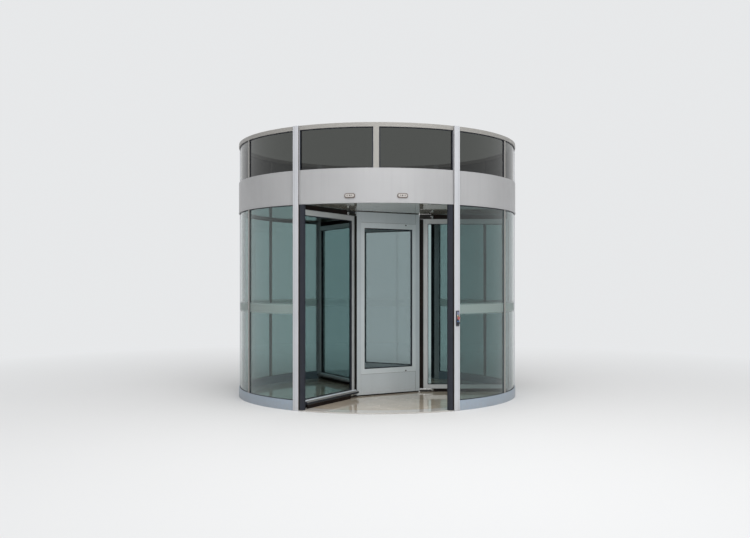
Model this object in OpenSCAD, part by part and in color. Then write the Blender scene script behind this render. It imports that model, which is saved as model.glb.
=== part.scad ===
// Three-wing revolving door with a glazed triangular core and a glazed clerestory.
// The origin is the drum's centre on the ground, +Z is up and the front faces -Y.

/* [Drum] */
// Clear radius inside the curved side walls
drum_r = 1800; // [1500:10:2200]
// Radial depth of the curved profiles
profile_depth = 50; // [40:2:70]
// Headroom under the fascia
passage_h = 2400; // [2200:10:2800]
// Height of the fascia band
fascia_h = 398; // [300:1:600]
// Height of the glass above the fascia
clerestory_h = 467; // [300:1:700]
// Height of the top ring
top_ring_h = 50; // [45:1:90]
// Height of the curved base sill
sill_h = 118; // [90:1:160]
// Thickness of the curved glass
curved_glass_t = 12; // [10:1:16]
// Depth of the glazing groove in the sill and in the top ring
glazing_groove = 12; // [8:1:16]
// Bevel on the upper edges of the sill and the top ring
profile_bevel = 3; // [1:0.5:5]

/* [Posts] */
// Angle of the main posts from the middle of each entrance
post_angle = 30.2; // [28:0.1:34]
// Width of the main posts
post_w = 78; // [66:1:110]
// Radial depth of the main posts
post_depth = 72; // [56:1:80]
// Radial depth of the posts in the wall line
wall_post_depth = 62; // [56:1:80]
// Bevel on the outer edges of the posts
post_bevel = 4; // [2:0.5:6]
// Width of the posts that stand in the wall line
wall_post_w = 60; // [50:1:90]
// Width of the thin mullions in the side walls
mullion_w = 30; // [24:1:40]
// Radial depth of the thin mullions
mullion_depth = 40; // [30:1:44]
// Width of the mullion in the middle of the entrance clerestory
centre_mullion_w = 66; // [50:1:80]

/* [Safety strips] */
// Width of the rubber strip on the side of each entrance post
strip_w = 68; // [40:1:76]
// Depth of the rubber strip
strip_depth = 54; // [40:1:60]
// Distance from the clear radius to the strip
strip_set_back = 2; // [1:0.5:6]
// Diameter of the grooves between its ribs
strip_groove_d = 4; // [2:0.5:6]

/* [Fascia and ceiling] */
// Thickness of the fascia skin
skin_t = 4; // [3:0.5:6]
// Thickness of the fascia flanges
flange_t = 12; // [8:1:16]
// Thickness of the turned-in lips of the fascia channel
lip_t = 6; // [4:1:8]
// Height of the turned-in lips
lip_h = 70; // [50:1:90]
// How far the bead at the fascia's lower edge stands proud
bead_out = 3; // [2:0.5:5]
// Height of that bead
bead_h = 12; // [5:1:14]
// Height of the ceiling above the fascia's lower edge
ceiling_rise = 20; // [14:1:30]
// Thickness of the ceiling panel
ceiling_t = 20; // [14:1:28]
// Thickness of the dust cover over the ceiling void
cover_t = 12; // [8:1:14]

/* [Floor] */
// Thickness of the stone floor disc
floor_t = 12; // [8:1:25]
// Radius of the floor bearing plate
bearing_r = 80; // [70:1:120]
// Radius of the floor pivot pin
floor_pin_r = 25; // [18:1:35]
// Height of the pin above the underside of the core
floor_pin_h = 30; // [20:1:40]
// Radius of the top journal
journal_r = 60; // [40:1:80]
// Height of the top journal above the core
journal_h = 88; // [60:1:120]
// Wall of the journal housing on the ceiling
housing_wall = 50; // [30:1:70]
// Height of the journal housing above the ceiling panel
housing_h = 50; // [30:1:80]
// Wall of the boss round the floor pin
boss_wall = 35; // [20:1:50]
// Free depth over the floor pin in its bore
pin_room = 2; // [1:0.5:4]

/* [Core] */
// Radius of the flat corners of the core
core_corner_r = 571; // [500:1:650]
// Width of those flat corners
core_corner_w = 60; // [50:1:80]
// Width of the corner posts along the faces
corner_post_w = 60; // [50:1:80]
// Depth of the corner posts behind the faces
corner_post_depth = 45; // [40:1:60]
// Gap between the stone floor and the core
core_lift = 18; // [14:1:30]
// Gap between the core's top and the ceiling
core_top_gap = 8; // [5:0.5:14]
// Height of the kick panels' top above the ground
kick_top = 295; // [200:1:400]
// Height of the header panels, up to the core's top
header_h = 132; // [80:1:250]
// How far the panels lie behind the posts' faces
panel_inset = 3; // [1:0.5:5]
// Thickness of the base plate and the head plate
core_plate_t = 20; // [15:1:30]
// Thickness of the showcase's floor and roof plates
showcase_plate_t = 12; // [8:1:20]
// Joint between the showcase doors and the panels above and below
door_joint = 3; // [1:0.5:4]
// Width of the showcase doors' stiles
door_stile_w = 52; // [40:1:70]
// Height of the showcase doors' bottom rail
door_bottom_rail = 69; // [50:1:90]
// Height of the showcase doors' top rail
door_top_rail = 75; // [50:1:90]
// Thickness of the showcase doors
door_t = 40; // [36:1:44]
// Thickness of the flat glass in the showcase and the wings
flat_glass_t = 8; // [6:1:12]
// Distance from the core's outline to its bottom brush
core_brush_inset = 8; // [4:1:14]
// Thickness of the core's bottom brush
core_brush_t = 12; // [8:1:16]

/* [Wings] */
// Distance from the core's corners to the wings' inner edges
wing_core_gap = 54; // [30:1:80]
// Distance from the wing frame's outer end to the clear radius
wing_end_gap = 28; // [22:1:40]
// Thickness of the wing frames
wing_t = 48; // [40:1:60]
// Height of the wing frames' underside above the ground
wing_bottom = 57; // [50:1:80]
// Distance from the wing frames' top to the ceiling
wing_top_gap = 68; // [50:1:90]
// Bevel on the upright edges of the wing frames
wing_bevel = 2.5; // [1:0.5:5]
// Width of the glazing bead round the glass of a wing or a showcase door
bead_w = 15; // [8:1:25]
// How far that bead lies behind the face of the frame
bead_step = 2; // [1:0.5:4]
// Width of the wings' stiles
wing_stile_w = 58; // [45:1:80]
// Height of the wings' bottom rail
wing_bottom_rail = 55; // [48:1:90]
// Height of the wings' top rail
wing_top_rail = 63; // [48:1:90]
// Depth of the glazing groove in the wing and showcase frames
frame_groove = 14; // [8:1:20]
// Distance from the wings' inner edges to their pivots
pivot_inset = 118; // [80:1:160]
// Radius of the pivot pins
pivot_pin_r = 8; // [6:0.5:12]
// Height of the pivot pins inside the rails
pivot_pin_h = 30; // [20:1:36]
// Free depth beyond the pivot pins in their bores
pivot_pin_room = 2; // [1:0.5:4]

/* [Bumpers] */
// Height of the bumpers' underside above the ground
bumper_bottom = 64; // [62:1:80]
// Height of a bumper's back
bumper_h = 44; // [36:1:50]
// Height of its rubber nose
bumper_nose_h = 24; // [16:1:30]
// How far a bumper stands out from its wing
bumper_out = 50; // [30:1:60]
// Bevel on the edges of the nose
bumper_bevel = 4; // [2:0.5:7]
// Gap between a folding bumper's inner end and the core's corner
bumper_core_gap = 6.5; // [5:0.5:15]
// Distance from the wing's outer end to the bumper's outer end
bumper_end_gap = 72; // [40:1:120]

/* [Arms] */
// Width of the arms that carry the wings
arm_w = 28; // [26:1:40]
// Thickness of those arms
arm_t = 24; // [16:1:24]
// Gap between an arm and the wing's frame
arm_gap = 8; // [6:0.5:12]
// Radius of the thrust washer on each arm
washer_r = 12; // [10:0.5:13]

/* [Brushes] */
// Thickness of the brushes along the wings
brush_t = 12; // [8:1:20]
// Gap between the brushes and the floor or the ceiling
brush_gap = 5; // [5:0.5:12]
// Gap between the outer brush and the clear radius
brush_end_gap = 12; // [8:1:16]
// Gap between the inner brush and the core's corner
brush_core_gap = 5.5; // [5:0.5:12]
// Gap between the arms' round ends and the top and bottom brushes
brush_arm_gap = 9; // [7:1:20]

/* [Sensors and switches] */
// Distance of each motion sensor from the middle of the entrance
sensor_x = 300; // [200:10:400]
// Height of the sensors' middle above the fascia's lower edge
sensor_rise = 84; // [60:1:200]
// Width of a sensor
sensor_w = 126; // [90:1:150]
// Height of a sensor
sensor_h = 62; // [44:1:80]
// How far a sensor stands out
sensor_out = 26; // [16:1:40]
// How far the sensor's edge stands out
sensor_edge_out = 17; // [10:1:30]
// Depth by which a sensor's back is let into the curve of the fascia
sensor_sink = 3; // [2:0.5:5]
// Width of the sensor's raised cover, inside its edge
sensor_step = 6; // [3:1:10]
// Height of the switch plate's lower edge above the ground
switch_bottom = 985; // [800:5:1200]
// Height of the switch plate
switch_h = 182; // [120:1:220]
// Width of the switch plate
switch_w = 40; // [30:1:60]
// Depth of the switch plate
switch_depth = 14; // [8:1:24]
// Height of the emergency button above the plate's lower edge
button_rise = 96; // [60:1:120]
// Radius of the emergency button's cap
button_r = 19; // [14:1:24]
// Height of that cap
button_cap_h = 10; // [6:1:14]
// Radius of the button's neck
button_neck_r = 13; // [9:1:13.5]
// Height of that neck
button_neck_h = 12; // [8:1:20]
// Radius of the rotary switch
rotary_r = 13; // [9:1:16]
// Height of the rotary switch above the plate's lower edge
rotary_rise = 26; // [18:1:40]

/* [Fits] */
// Gap between pieces that seat against each other
seat_gap = 0.3; // [0.2:0.05:0.6]
// Radial clearance of the pins and journals in their bores
running_fit = 0.05; // [0.02:0.01:0.1]

/* [Hidden] */

// Fineness of the big curves and of the small ones
arc_fn = 256;
small_fn = 64;
// A little extra length where one shape cuts another
cut = 1;

// Directions are angles from +X, anticlockwise seen from above
front = 270;
rear = 90;
right = 0;
left = 180;
mullion_angle = 30;
wing_angles = [0, 120, 240];
face_angles = [60, 180, 300];

// Levels and radii worked out from the sizes above
drum_out_r = drum_r + profile_depth;
glass_mid_r = drum_r + profile_depth / 2;
post_out_r = drum_r + post_depth;
wall_post_out_r = drum_r + wall_post_depth;
fascia_top = passage_h + fascia_h;
ring_bottom = fascia_top + clerestory_h;
door_top = ring_bottom + top_ring_h;
ceiling_z = passage_h + ceiling_rise;
core_bottom = floor_t + core_lift;
core_top = ceiling_z - core_top_gap;
header_bottom = core_top - header_h;
panel_r = drum_r - seat_gap;

// The core is a triangle with flat corners
core_face = core_corner_r * cos(60) + core_corner_w / 2 * sin(60);
core_face_half = (core_corner_r * sin(60)) - core_corner_w / 2 * cos(60);
panel_half = core_face_half - corner_post_w - seat_gap;
corner_inner_r = core_corner_r - corner_post_w * sin(60) - corner_post_depth * cos(60);
inner_face = core_face - corner_post_depth - seat_gap;

// The wings
wing_in_r = core_corner_r + wing_core_gap;
wing_out_r = drum_r - wing_end_gap;
pivot_r = wing_in_r + pivot_inset;
wing_top = ceiling_z - wing_top_gap;
brush_in_r = core_corner_r + brush_core_gap;
brush_out_r = drum_r - brush_end_gap;
brush_start_r = pivot_r + arm_w / 2 + brush_arm_gap;
bumper_swing_r = pivot_r - core_corner_r - bumper_core_gap;

// Half angle that a piece of a given half width takes up at a radius, with its seat gap
function reach(half_w, r) = asin((half_w + seat_gap) / r);

// A profile, drawn as radius and height, turned from one direction to another
module arc(from, to) {
    rotate([0, 0, from])
        rotate_extrude(angle = to - from, $fn = arc_fn)
            children();
}

// The same profile in each bay of a side wall, between its posts and mullions
module side_bays(side, thin_half_w, r) {
    post_edge = 90 - post_angle - reach(post_w / 2, r);
    wall_edge = reach(wall_post_w / 2, r);
    thin_edge = reach(thin_half_w, r);
    for (end = [-1, 1]) {
        near = [wall_edge, mullion_angle - thin_edge];
        far = [mullion_angle + thin_edge, post_edge];
        for (bay = [near, far])
            arc(side + min(end * bay[0], end * bay[1]), side + max(end * bay[0], end * bay[1]))
                children();
    }
}

// The same profile from the wall post to each main post of a side wall
module side_runs(side, r) {
    post_edge = 90 - post_angle - reach(post_w / 2, r);
    wall_edge = reach(wall_post_w / 2, r);
    arc(side + wall_edge, side + post_edge) children();
    arc(side - post_edge, side - wall_edge) children();
}

// The same profile across an entrance
module entrance_run(middle, r) {
    half = post_angle - reach(post_w / 2, r);
    arc(middle - half, middle + half) children();
}

// Rectangle from its corners, as radius and height or as depth and width
module span(x0, y0, x1, y1) {
    translate([x0, y0]) square([x1 - x0, y1 - y0]);
}

// Stone floor inside the drum, and a curved threshold stone in both entrances
module floor_disc() {
    color("tan") {
        cylinder(h = floor_t, r = panel_r, $fn = arc_fn);
        for (middle = [front, rear])
            entrance_run(middle, drum_r) span(drum_r, 0, drum_out_r, floor_t);
    }
}

// Steel bearing plate with the pin that the core turns on
module floor_bearing() {
    color("silver") {
        translate([0, 0, floor_t])
            cylinder(h = core_lift - seat_gap, r = bearing_r, $fn = small_fn);
        translate([0, 0, floor_t])
            cylinder(h = core_lift + floor_pin_h, r = floor_pin_r, $fn = small_fn);
    }
}

// Section of the base sill, with the groove that the curved glass stands in
module sill_section() {
    bevel = profile_bevel;
    groove_half = curved_glass_t / 2 + seat_gap;
    difference() {
        polygon([
            [drum_r, 0], [drum_out_r, 0],
            [drum_out_r, sill_h - bevel], [drum_out_r - bevel, sill_h],
            [drum_r + bevel, sill_h], [drum_r, sill_h - bevel]
        ]);
        span(glass_mid_r - groove_half, sill_h - glazing_groove, glass_mid_r + groove_half, sill_h + cut);
    }
}

module sill(side) {
    color("lightgray") side_runs(side, drum_r) sill_section();
}

// Plan of a post: the inner face is flat and the outer edges are bevelled
module post_plan(w, out_r) {
    half = w / 2;
    polygon([
        [drum_r, -half], [out_r - post_bevel, -half], [out_r, -half + post_bevel],
        [out_r, half - post_bevel], [out_r - post_bevel, half], [drum_r, half]
    ]);
}

// Full-height posts at both sides of an entrance
module entrance_posts(middle) {
    color("gainsboro")
        for (turn = [-post_angle, post_angle])
            rotate([0, 0, middle + turn])
                linear_extrude(door_top) post_plan(post_w, post_out_r);
}

// Posts where the drum meets the wall line
module wall_posts() {
    color("gainsboro")
        for (side = [left, right])
            rotate([0, 0, side])
                linear_extrude(door_top) post_plan(wall_post_w, wall_post_out_r);
}

// Thin mullions of the side walls, below and above the fascia
module side_mullions() {
    in_r = glass_mid_r - mullion_depth / 2;
    color("lightgray")
        for (side = [left, right], turn = [-mullion_angle, mullion_angle])
            rotate([0, 0, side + turn]) {
                translate([in_r, -mullion_w / 2, sill_h + seat_gap])
                    cube([mullion_depth, mullion_w, passage_h - sill_h - 2 * seat_gap]);
                translate([in_r, -mullion_w / 2, fascia_top + seat_gap])
                    cube([mullion_depth, mullion_w, clerestory_h - 2 * seat_gap]);
            }
}

// Plan of a rubber safety strip: a rounded nose with grooves between its ribs
module strip_plan() {
    nose_r = strip_depth / 2;
    mid_r = drum_r + strip_set_back + nose_r;
    base = strip_w - nose_r;
    difference() {
        union() {
            span(mid_r - nose_r, 0, mid_r + nose_r, base);
            intersection() {
                translate([mid_r, base]) circle(r = nose_r, $fn = small_fn);
                span(mid_r - nose_r - cut, 0, mid_r + nose_r + cut, strip_w + cut);
            }
        }
        for (turn = [15 : 30 : 165])
            translate([mid_r + nose_r * cos(turn), base + nose_r * sin(turn)])
                circle(d = strip_groove_d, $fn = 24);
    }
}

// Strips on the entrance side of the four main posts
module safety_strips() {
    color("dimgray")
        for (middle = [front, rear], side = [0, 1])
            rotate([0, 0, middle])
                mirror([0, side, 0])
                    rotate([0, 0, -post_angle])
                        translate([0, post_w / 2 + seat_gap, floor_t])
                            linear_extrude(passage_h - floor_t) strip_plan();
}

// Section of the curved glass in the side walls
module curved_glass_section() {
    span(glass_mid_r - curved_glass_t / 2, sill_h - glazing_groove + seat_gap,
        glass_mid_r + curved_glass_t / 2, passage_h - seat_gap);
}

// Panes of a side wall, which stand in the sill's groove between the mullions
module curved_glass(side) {
    color("paleturquoise")
        side_bays(side, mullion_w / 2, glass_mid_r - curved_glass_t / 2) curved_glass_section();
}

// Section of the fascia: a rolled channel, open to the inside, with a bead at its foot
module fascia_section() {
    difference() {
        union() {
            span(drum_r, passage_h, drum_out_r, fascia_top);
            span(drum_out_r - cut, passage_h, drum_out_r + bead_out, passage_h + bead_h);
        }
        span(drum_r + lip_t, passage_h + flange_t, drum_out_r - skin_t, fascia_top - flange_t);
        span(drum_r - cut, passage_h + lip_h, drum_r + lip_t + cut, fascia_top - lip_h);
    }
}

module entrance_fascia(middle) {
    color("gainsboro") entrance_run(middle, drum_r) fascia_section();
}

module side_fascia(side) {
    color("gainsboro") side_runs(side, drum_r) fascia_section();
}

// Ceiling panel with the housing that guides the core's top journal
module ceiling() {
    bore_r = journal_r + running_fit;
    color("darkkhaki")
        difference() {
            union() {
                translate([0, 0, ceiling_z])
                    cylinder(h = ceiling_t, r = panel_r, $fn = arc_fn);
                translate([0, 0, ceiling_z])
                    cylinder(h = ceiling_t + housing_h, r = bore_r + housing_wall, $fn = small_fn);
            }
            translate([0, 0, ceiling_z - cut])
                cylinder(h = ceiling_t + housing_h + 2 * cut, r = bore_r, $fn = small_fn);
        }
}

// Dust cover that closes the void over the ceiling, level with the fascia's top
module canopy_cover() {
    color("silver")
        translate([0, 0, fascia_top - cover_t])
            cylinder(h = cover_t, r = panel_r, $fn = arc_fn);
}

// Section of the glass above the fascia, held in the top ring's groove
module clerestory_glass_section() {
    span(glass_mid_r - curved_glass_t / 2, fascia_top + seat_gap,
        glass_mid_r + curved_glass_t / 2, ring_bottom + glazing_groove - seat_gap);
}

// Two panes over an entrance, on both sides of its middle mullion
module entrance_clerestory_glass(middle) {
    r = glass_mid_r - curved_glass_t / 2;
    near = reach(centre_mullion_w / 2, r);
    far = post_angle - reach(post_w / 2, r);
    color("paleturquoise") {
        arc(middle + near, middle + far) clerestory_glass_section();
        arc(middle - far, middle - near) clerestory_glass_section();
    }
}

module side_clerestory_glass() {
    color("paleturquoise")
        for (side = [left, right])
            side_bays(side, mullion_w / 2, glass_mid_r - curved_glass_t / 2)
                clerestory_glass_section();
}

// Mullions in the middle of the front and rear clerestory
module centre_mullions() {
    color("gainsboro")
        for (middle = [front, rear])
            rotate([0, 0, middle])
                translate([drum_r, -centre_mullion_w / 2, fascia_top + seat_gap])
                    cube([profile_depth, centre_mullion_w, clerestory_h - 2 * seat_gap]);
}

// Section of the top ring, with the groove for the glass in its underside
module ring_section() {
    bevel = profile_bevel;
    groove_half = curved_glass_t / 2 + seat_gap;
    difference() {
        polygon([
            [drum_r, ring_bottom], [drum_out_r, ring_bottom],
            [drum_out_r, door_top - bevel], [drum_out_r - bevel, door_top],
            [drum_r + bevel, door_top], [drum_r, door_top - bevel]
        ]);
        span(glass_mid_r - groove_half, ring_bottom - cut,
            glass_mid_r + groove_half, ring_bottom + glazing_groove);
    }
}

module entrance_top_ring(middle) {
    color("lightgray") entrance_run(middle, drum_r) ring_section();
}

module side_top_rings() {
    color("lightgray")
        for (side = [left, right])
            side_runs(side, drum_r) ring_section();
}

// Upright or lying shape with round ends
module stadium(w, h) {
    square([w - h, h], center = true);
    for (end = [-1, 1])
        translate([end * (w - h) / 2, 0]) circle(d = h, $fn = small_fn);
}

// Motion sensors over both entrances, with their backs shaped to the fascia
module motion_sensors() {
    turn = asin(sensor_x / drum_out_r);
    back_r = drum_out_r + seat_gap;
    color("gainsboro")
        difference() {
            for (middle = [front, rear], side = [-turn, turn])
                rotate([0, 0, middle + side])
                    translate([drum_out_r - sensor_sink, 0, passage_h + sensor_rise])
                        rotate([90, 0, 90]) {
                            linear_extrude(sensor_edge_out) stadium(sensor_w, sensor_h);
                            linear_extrude(sensor_out)
                                stadium(sensor_w - 2 * sensor_step, sensor_h - 2 * sensor_step);
                        }
            cylinder(h = door_top, r = back_r, $fn = arc_fn);
        }
}

// Directions of the two posts that carry switches
switch_angles = [front + post_angle, rear + post_angle];

// Narrow switch plates with a rotary switch near the lower end
module switch_plates() {
    color("dimgray")
        for (turn = switch_angles)
            rotate([0, 0, turn]) {
                translate([post_out_r, -switch_w / 2, switch_bottom])
                    cube([switch_depth, switch_w, switch_h]);
                translate([post_out_r + switch_depth / 2, 0, switch_bottom + rotary_rise])
                    rotate([0, 90, 0])
                        cylinder(h = switch_depth, r = rotary_r, $fn = small_fn);
            }
}

// Mushroom buttons on the switch plates
module emergency_buttons() {
    color("red")
        for (turn = switch_angles)
            rotate([0, 0, turn])
                translate([post_out_r + switch_depth, 0, switch_bottom + button_rise])
                    rotate([0, 90, 0]) {
                        cylinder(h = button_neck_h, r = button_neck_r, $fn = small_fn);
                        translate([0, 0, button_neck_h])
                            cylinder(h = button_cap_h, r = button_r, $fn = small_fn);
                    }
}

// Triangle with flat corners at a radius and long faces at a distance from the middle
module flat_cornered(corner_r, face) {
    half = (face - corner_r * cos(60)) / sin(60);
    polygon([
        for (a = wing_angles, side = [-half, half])
            [corner_r * cos(a) - side * sin(a), corner_r * sin(a) + side * cos(a)]
    ]);
}

// Outline of a plate that fills the core between its posts and panels
module core_inner_plan() {
    flat_cornered(corner_inner_r - seat_gap, inner_face);
}

// Outline of the whole core, moved inwards by a distance
module core_outline(inset) {
    flat_cornered(core_corner_r - inset, core_face - inset);
}

// Base plate of the core, with the boss that turns on the floor pin
module core_base() {
    boss_h = floor_pin_h + core_plate_t;
    color("silver")
        difference() {
            union() {
                translate([0, 0, core_bottom]) linear_extrude(core_plate_t) core_inner_plan();
                translate([0, 0, core_bottom])
                    cylinder(h = boss_h, r = floor_pin_r + boss_wall, $fn = small_fn);
            }
            translate([0, 0, core_bottom - cut])
                cylinder(h = floor_pin_h + pin_room + cut, r = floor_pin_r + running_fit, $fn = small_fn);
        }
}

// Corner post of the core, in plan: flat outer corner and two faces in the planes of the core
module corner_post_plan() {
    half = core_corner_w / 2;
    side_x = core_corner_r - corner_post_w * sin(60);
    side_y = half + corner_post_w * cos(60);
    inner_x = side_x - corner_post_depth * cos(60);
    inner_y = side_y - corner_post_depth * sin(60);
    polygon([
        [core_corner_r, -half], [core_corner_r, half], [side_x, side_y],
        [inner_x, inner_y], [inner_x, -inner_y], [side_x, -side_y]
    ]);
}

module core_posts() {
    color("silver")
        for (a = wing_angles)
            rotate([0, 0, a])
                translate([0, 0, core_bottom])
                    linear_extrude(core_top - core_bottom) corner_post_plan();
}

// Flat panels between the corner posts, from one height to another
module face_panels(z0, z1) {
    for (a = face_angles)
        rotate([0, 0, a])
            translate([core_face - corner_post_depth, -panel_half, z0])
                cube([corner_post_depth - panel_inset, 2 * panel_half, z1 - z0]);
}

module kick_panels() {
    color("silver") face_panels(core_bottom, kick_top);
}

module header_panels() {
    color("silver") face_panels(header_bottom, core_top);
}

// Head plate of the core, with the journal that runs in the ceiling's housing
module core_head() {
    color("silver") {
        translate([0, 0, core_top - core_plate_t]) linear_extrude(core_plate_t) core_inner_plan();
        translate([0, 0, core_top - core_plate_t])
            cylinder(h = core_plate_t + journal_h, r = journal_r, $fn = small_fn);
    }
}

// Floor and roof of the glazed showcase
module showcase_plates() {
    color("whitesmoke") {
        translate([0, 0, kick_top - showcase_plate_t])
            linear_extrude(showcase_plate_t) core_inner_plan();
        translate([0, 0, header_bottom])
            linear_extrude(showcase_plate_t) core_inner_plan();
    }
}

// Glass of a showcase door, grown on every side by a distance
module door_pane(grow) {
    half = panel_half - door_stile_w + frame_groove;
    z0 = kick_top + door_bottom_rail - frame_groove;
    z1 = header_bottom - door_top_rail + frame_groove;
    translate([core_face - door_t / 2 - flat_glass_t / 2 - grow, -half - grow, z0 - grow])
        cube([flat_glass_t + 2 * grow, 2 * (half + grow), z1 - z0 + 2 * grow]);
}

// Framed doors that close the three faces of the showcase
module showcase_doors() {
    z0 = kick_top + door_joint;
    z1 = header_bottom - door_joint;
    open_half = panel_half - door_stile_w;
    open_z0 = kick_top + door_bottom_rail;
    open_z1 = header_bottom - door_top_rail;
    color("silver")
        for (a = face_angles)
            rotate([0, 0, a])
                difference() {
                    translate([core_face - door_t, -panel_half, z0])
                        cube([door_t, 2 * panel_half, z1 - z0]);
                    translate([core_face - door_t - cut, -open_half, open_z0])
                        cube([door_t + 2 * cut, 2 * open_half, open_z1 - open_z0]);
                    translate([core_face - bead_step, -open_half - bead_w, open_z0 - bead_w])
                        cube([bead_step + cut, 2 * (open_half + bead_w), open_z1 - open_z0 + 2 * bead_w]);
                    door_pane(seat_gap);
                }
}

module showcase_glass() {
    color("paleturquoise")
        for (a = face_angles)
            rotate([0, 0, a]) door_pane(0);
}

// Brush skirt under the core
module core_brush() {
    z0 = floor_t + brush_gap;
    color("black")
        translate([0, 0, z0])
            linear_extrude(core_bottom - z0)
                difference() {
                    core_outline(core_brush_inset);
                    core_outline(core_brush_inset + core_brush_t);
                }
}

// One arm, its washer and its pin, built upwards from the arm's outer face
module arm() {
    from_core = core_corner_r + seat_gap;
    translate([from_core, -arm_w / 2, 0]) cube([pivot_r - from_core, arm_w, arm_t]);
    translate([pivot_r, 0, 0]) {
        cylinder(h = arm_t, d = arm_w, $fn = small_fn);
        cylinder(h = arm_t + arm_gap - seat_gap, r = washer_r, $fn = small_fn);
        cylinder(h = arm_t + arm_gap + pivot_pin_h, r = pivot_pin_r, $fn = small_fn);
    }
}

// Arms from the core's corners to the wings' pivots, below and above each wing
module pivot_arms() {
    color("gainsboro")
        for (a = wing_angles)
            rotate([0, 0, a]) {
                translate([0, 0, wing_bottom - arm_gap - arm_t]) arm();
                translate([0, 0, wing_top + arm_gap + arm_t]) mirror([0, 0, 1]) arm();
            }
}

// Glass of a wing, grown on every side by a distance
module wing_pane(grow) {
    x0 = wing_in_r + wing_stile_w - frame_groove;
    x1 = wing_out_r - wing_stile_w + frame_groove;
    z0 = wing_bottom + wing_bottom_rail - frame_groove;
    z1 = wing_top - wing_top_rail + frame_groove;
    translate([x0 - grow, -flat_glass_t / 2 - grow, z0 - grow])
        cube([x1 - x0 + 2 * grow, flat_glass_t + 2 * grow, z1 - z0 + 2 * grow]);
}

// Plan of a wing frame, with bevelled upright edges
module wing_plan() {
    half = wing_t / 2;
    bevel = wing_bevel;
    polygon([
        [wing_in_r + bevel, -half], [wing_out_r - bevel, -half],
        [wing_out_r, -half + bevel], [wing_out_r, half - bevel],
        [wing_out_r - bevel, half], [wing_in_r + bevel, half],
        [wing_in_r, half - bevel], [wing_in_r, -half + bevel]
    ]);
}

// Opening of a wing frame, grown on every side by a distance, from one depth to another
module wing_opening(grow, y0, y1) {
    x0 = wing_in_r + wing_stile_w - grow;
    x1 = wing_out_r - wing_stile_w + grow;
    z0 = wing_bottom + wing_bottom_rail - grow;
    z1 = wing_top - wing_top_rail + grow;
    translate([x0, y0, z0]) cube([x1 - x0, y1 - y0, z1 - z0]);
}

// Frame of a wing, bored at both ends for its pivot pins
module wing_frame(angle) {
    half = wing_t / 2;
    bore_r = pivot_pin_r + running_fit;
    bore_h = pivot_pin_h + pivot_pin_room + cut;
    color("lightsteelblue")
        rotate([0, 0, angle])
            difference() {
                translate([0, 0, wing_bottom]) linear_extrude(wing_top - wing_bottom) wing_plan();
                wing_opening(0, -half - cut, half + cut);
                wing_opening(bead_w, half - bead_step, half + cut);
                wing_opening(bead_w, -half - cut, -half + bead_step);
                wing_pane(seat_gap);
                translate([pivot_r, 0, wing_bottom - cut])
                    cylinder(h = bore_h, r = bore_r, $fn = small_fn);
                translate([pivot_r, 0, wing_top - bore_h + cut])
                    cylinder(h = bore_h, r = bore_r, $fn = small_fn);
            }
}

module wing_glass(angle) {
    color("paleturquoise") rotate([0, 0, angle]) wing_pane(0);
}

// Brushes round a wing: inner, outer, bottom and top
module wing_brushes(angle) {
    bottom_z = floor_t + brush_gap;
    top_z = ceiling_z - brush_gap;
    color("black")
        rotate([0, 0, angle])
            translate([0, -brush_t / 2, 0]) {
                translate([brush_in_r, 0, wing_bottom])
                    cube([wing_in_r - brush_in_r, brush_t, wing_top - wing_bottom]);
                translate([wing_out_r, 0, wing_bottom])
                    cube([brush_out_r - wing_out_r, brush_t, wing_top - wing_bottom]);
                translate([brush_start_r, 0, bottom_z])
                    cube([wing_out_r - brush_start_r, brush_t, wing_bottom - bottom_z]);
                translate([brush_start_r, 0, wing_top])
                    cube([wing_out_r - brush_start_r, brush_t, top_z - wing_top]);
            }
}

// Plan of a bumper: its inner end keeps to a circle round the pivot, to pass the core's corner
module bumper_plan() {
    back = wing_t / 2 + seat_gap;
    out_r = wing_out_r - bumper_end_gap;
    polygon([
        for (share = [0 : 0.25 : 1])
            [pivot_r - sqrt(pow(bumper_swing_r, 2) - pow(back + share * bumper_out, 2)), back + share * bumper_out],
        [out_r - bumper_out / 2, back + bumper_out],
        [out_r, back + bumper_out / 2],
        [out_r, back]
    ]);
}

// Section of a bumper: a cover that slopes out to a rubber nose
module bumper_section() {
    polygon([
        [0, 0], [bumper_out - bumper_bevel, 0], [bumper_out, bumper_bevel],
        [bumper_out, bumper_nose_h - bumper_bevel], [bumper_out - bumper_bevel, bumper_nose_h],
        [0, bumper_h]
    ]);
}

// Bumper along the foot of a wing, on the side that leads as the door turns anticlockwise
module wing_bumper(angle) {
    color("dimgray")
        rotate([0, 0, angle])
            intersection() {
                translate([0, 0, bumper_bottom]) linear_extrude(bumper_h) bumper_plan();
                translate([wing_out_r, wing_t / 2 + seat_gap, bumper_bottom])
                    rotate([90, 0, -90])
                        mirror([1, 0, 0])
                            linear_extrude(wing_out_r - core_corner_r) bumper_section();
            }
}

floor_disc();
floor_bearing();
sill(left);  // sill_left
sill(right);  // sill_right
entrance_posts(front);  // front_posts
entrance_posts(rear);  // rear_posts
wall_posts();
side_mullions();
safety_strips();
curved_glass(left);  // curved_glass_left
curved_glass(right);  // curved_glass_right
entrance_fascia(front);  // fascia_front
entrance_fascia(rear);  // fascia_rear
side_fascia(left);  // fascia_left
side_fascia(right);  // fascia_right
ceiling();
canopy_cover();
entrance_clerestory_glass(front);  // clerestory_glass_front
entrance_clerestory_glass(rear);  // clerestory_glass_rear
side_clerestory_glass();  // clerestory_glass_sides
centre_mullions();
entrance_top_ring(front);  // top_ring_front
entrance_top_ring(rear);  // top_ring_rear
side_top_rings();  // top_ring_sides
motion_sensors();
switch_plates();
emergency_buttons();
core_base();
core_posts();
kick_panels();
header_panels();
core_head();
showcase_plates();
showcase_doors();
showcase_glass();
core_brush();
pivot_arms();
wing_frame(wing_angles[0]);  // wing_a_frame
wing_glass(wing_angles[0]);  // wing_a_glass
wing_brushes(wing_angles[0]);  // wing_a_brushes
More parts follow.
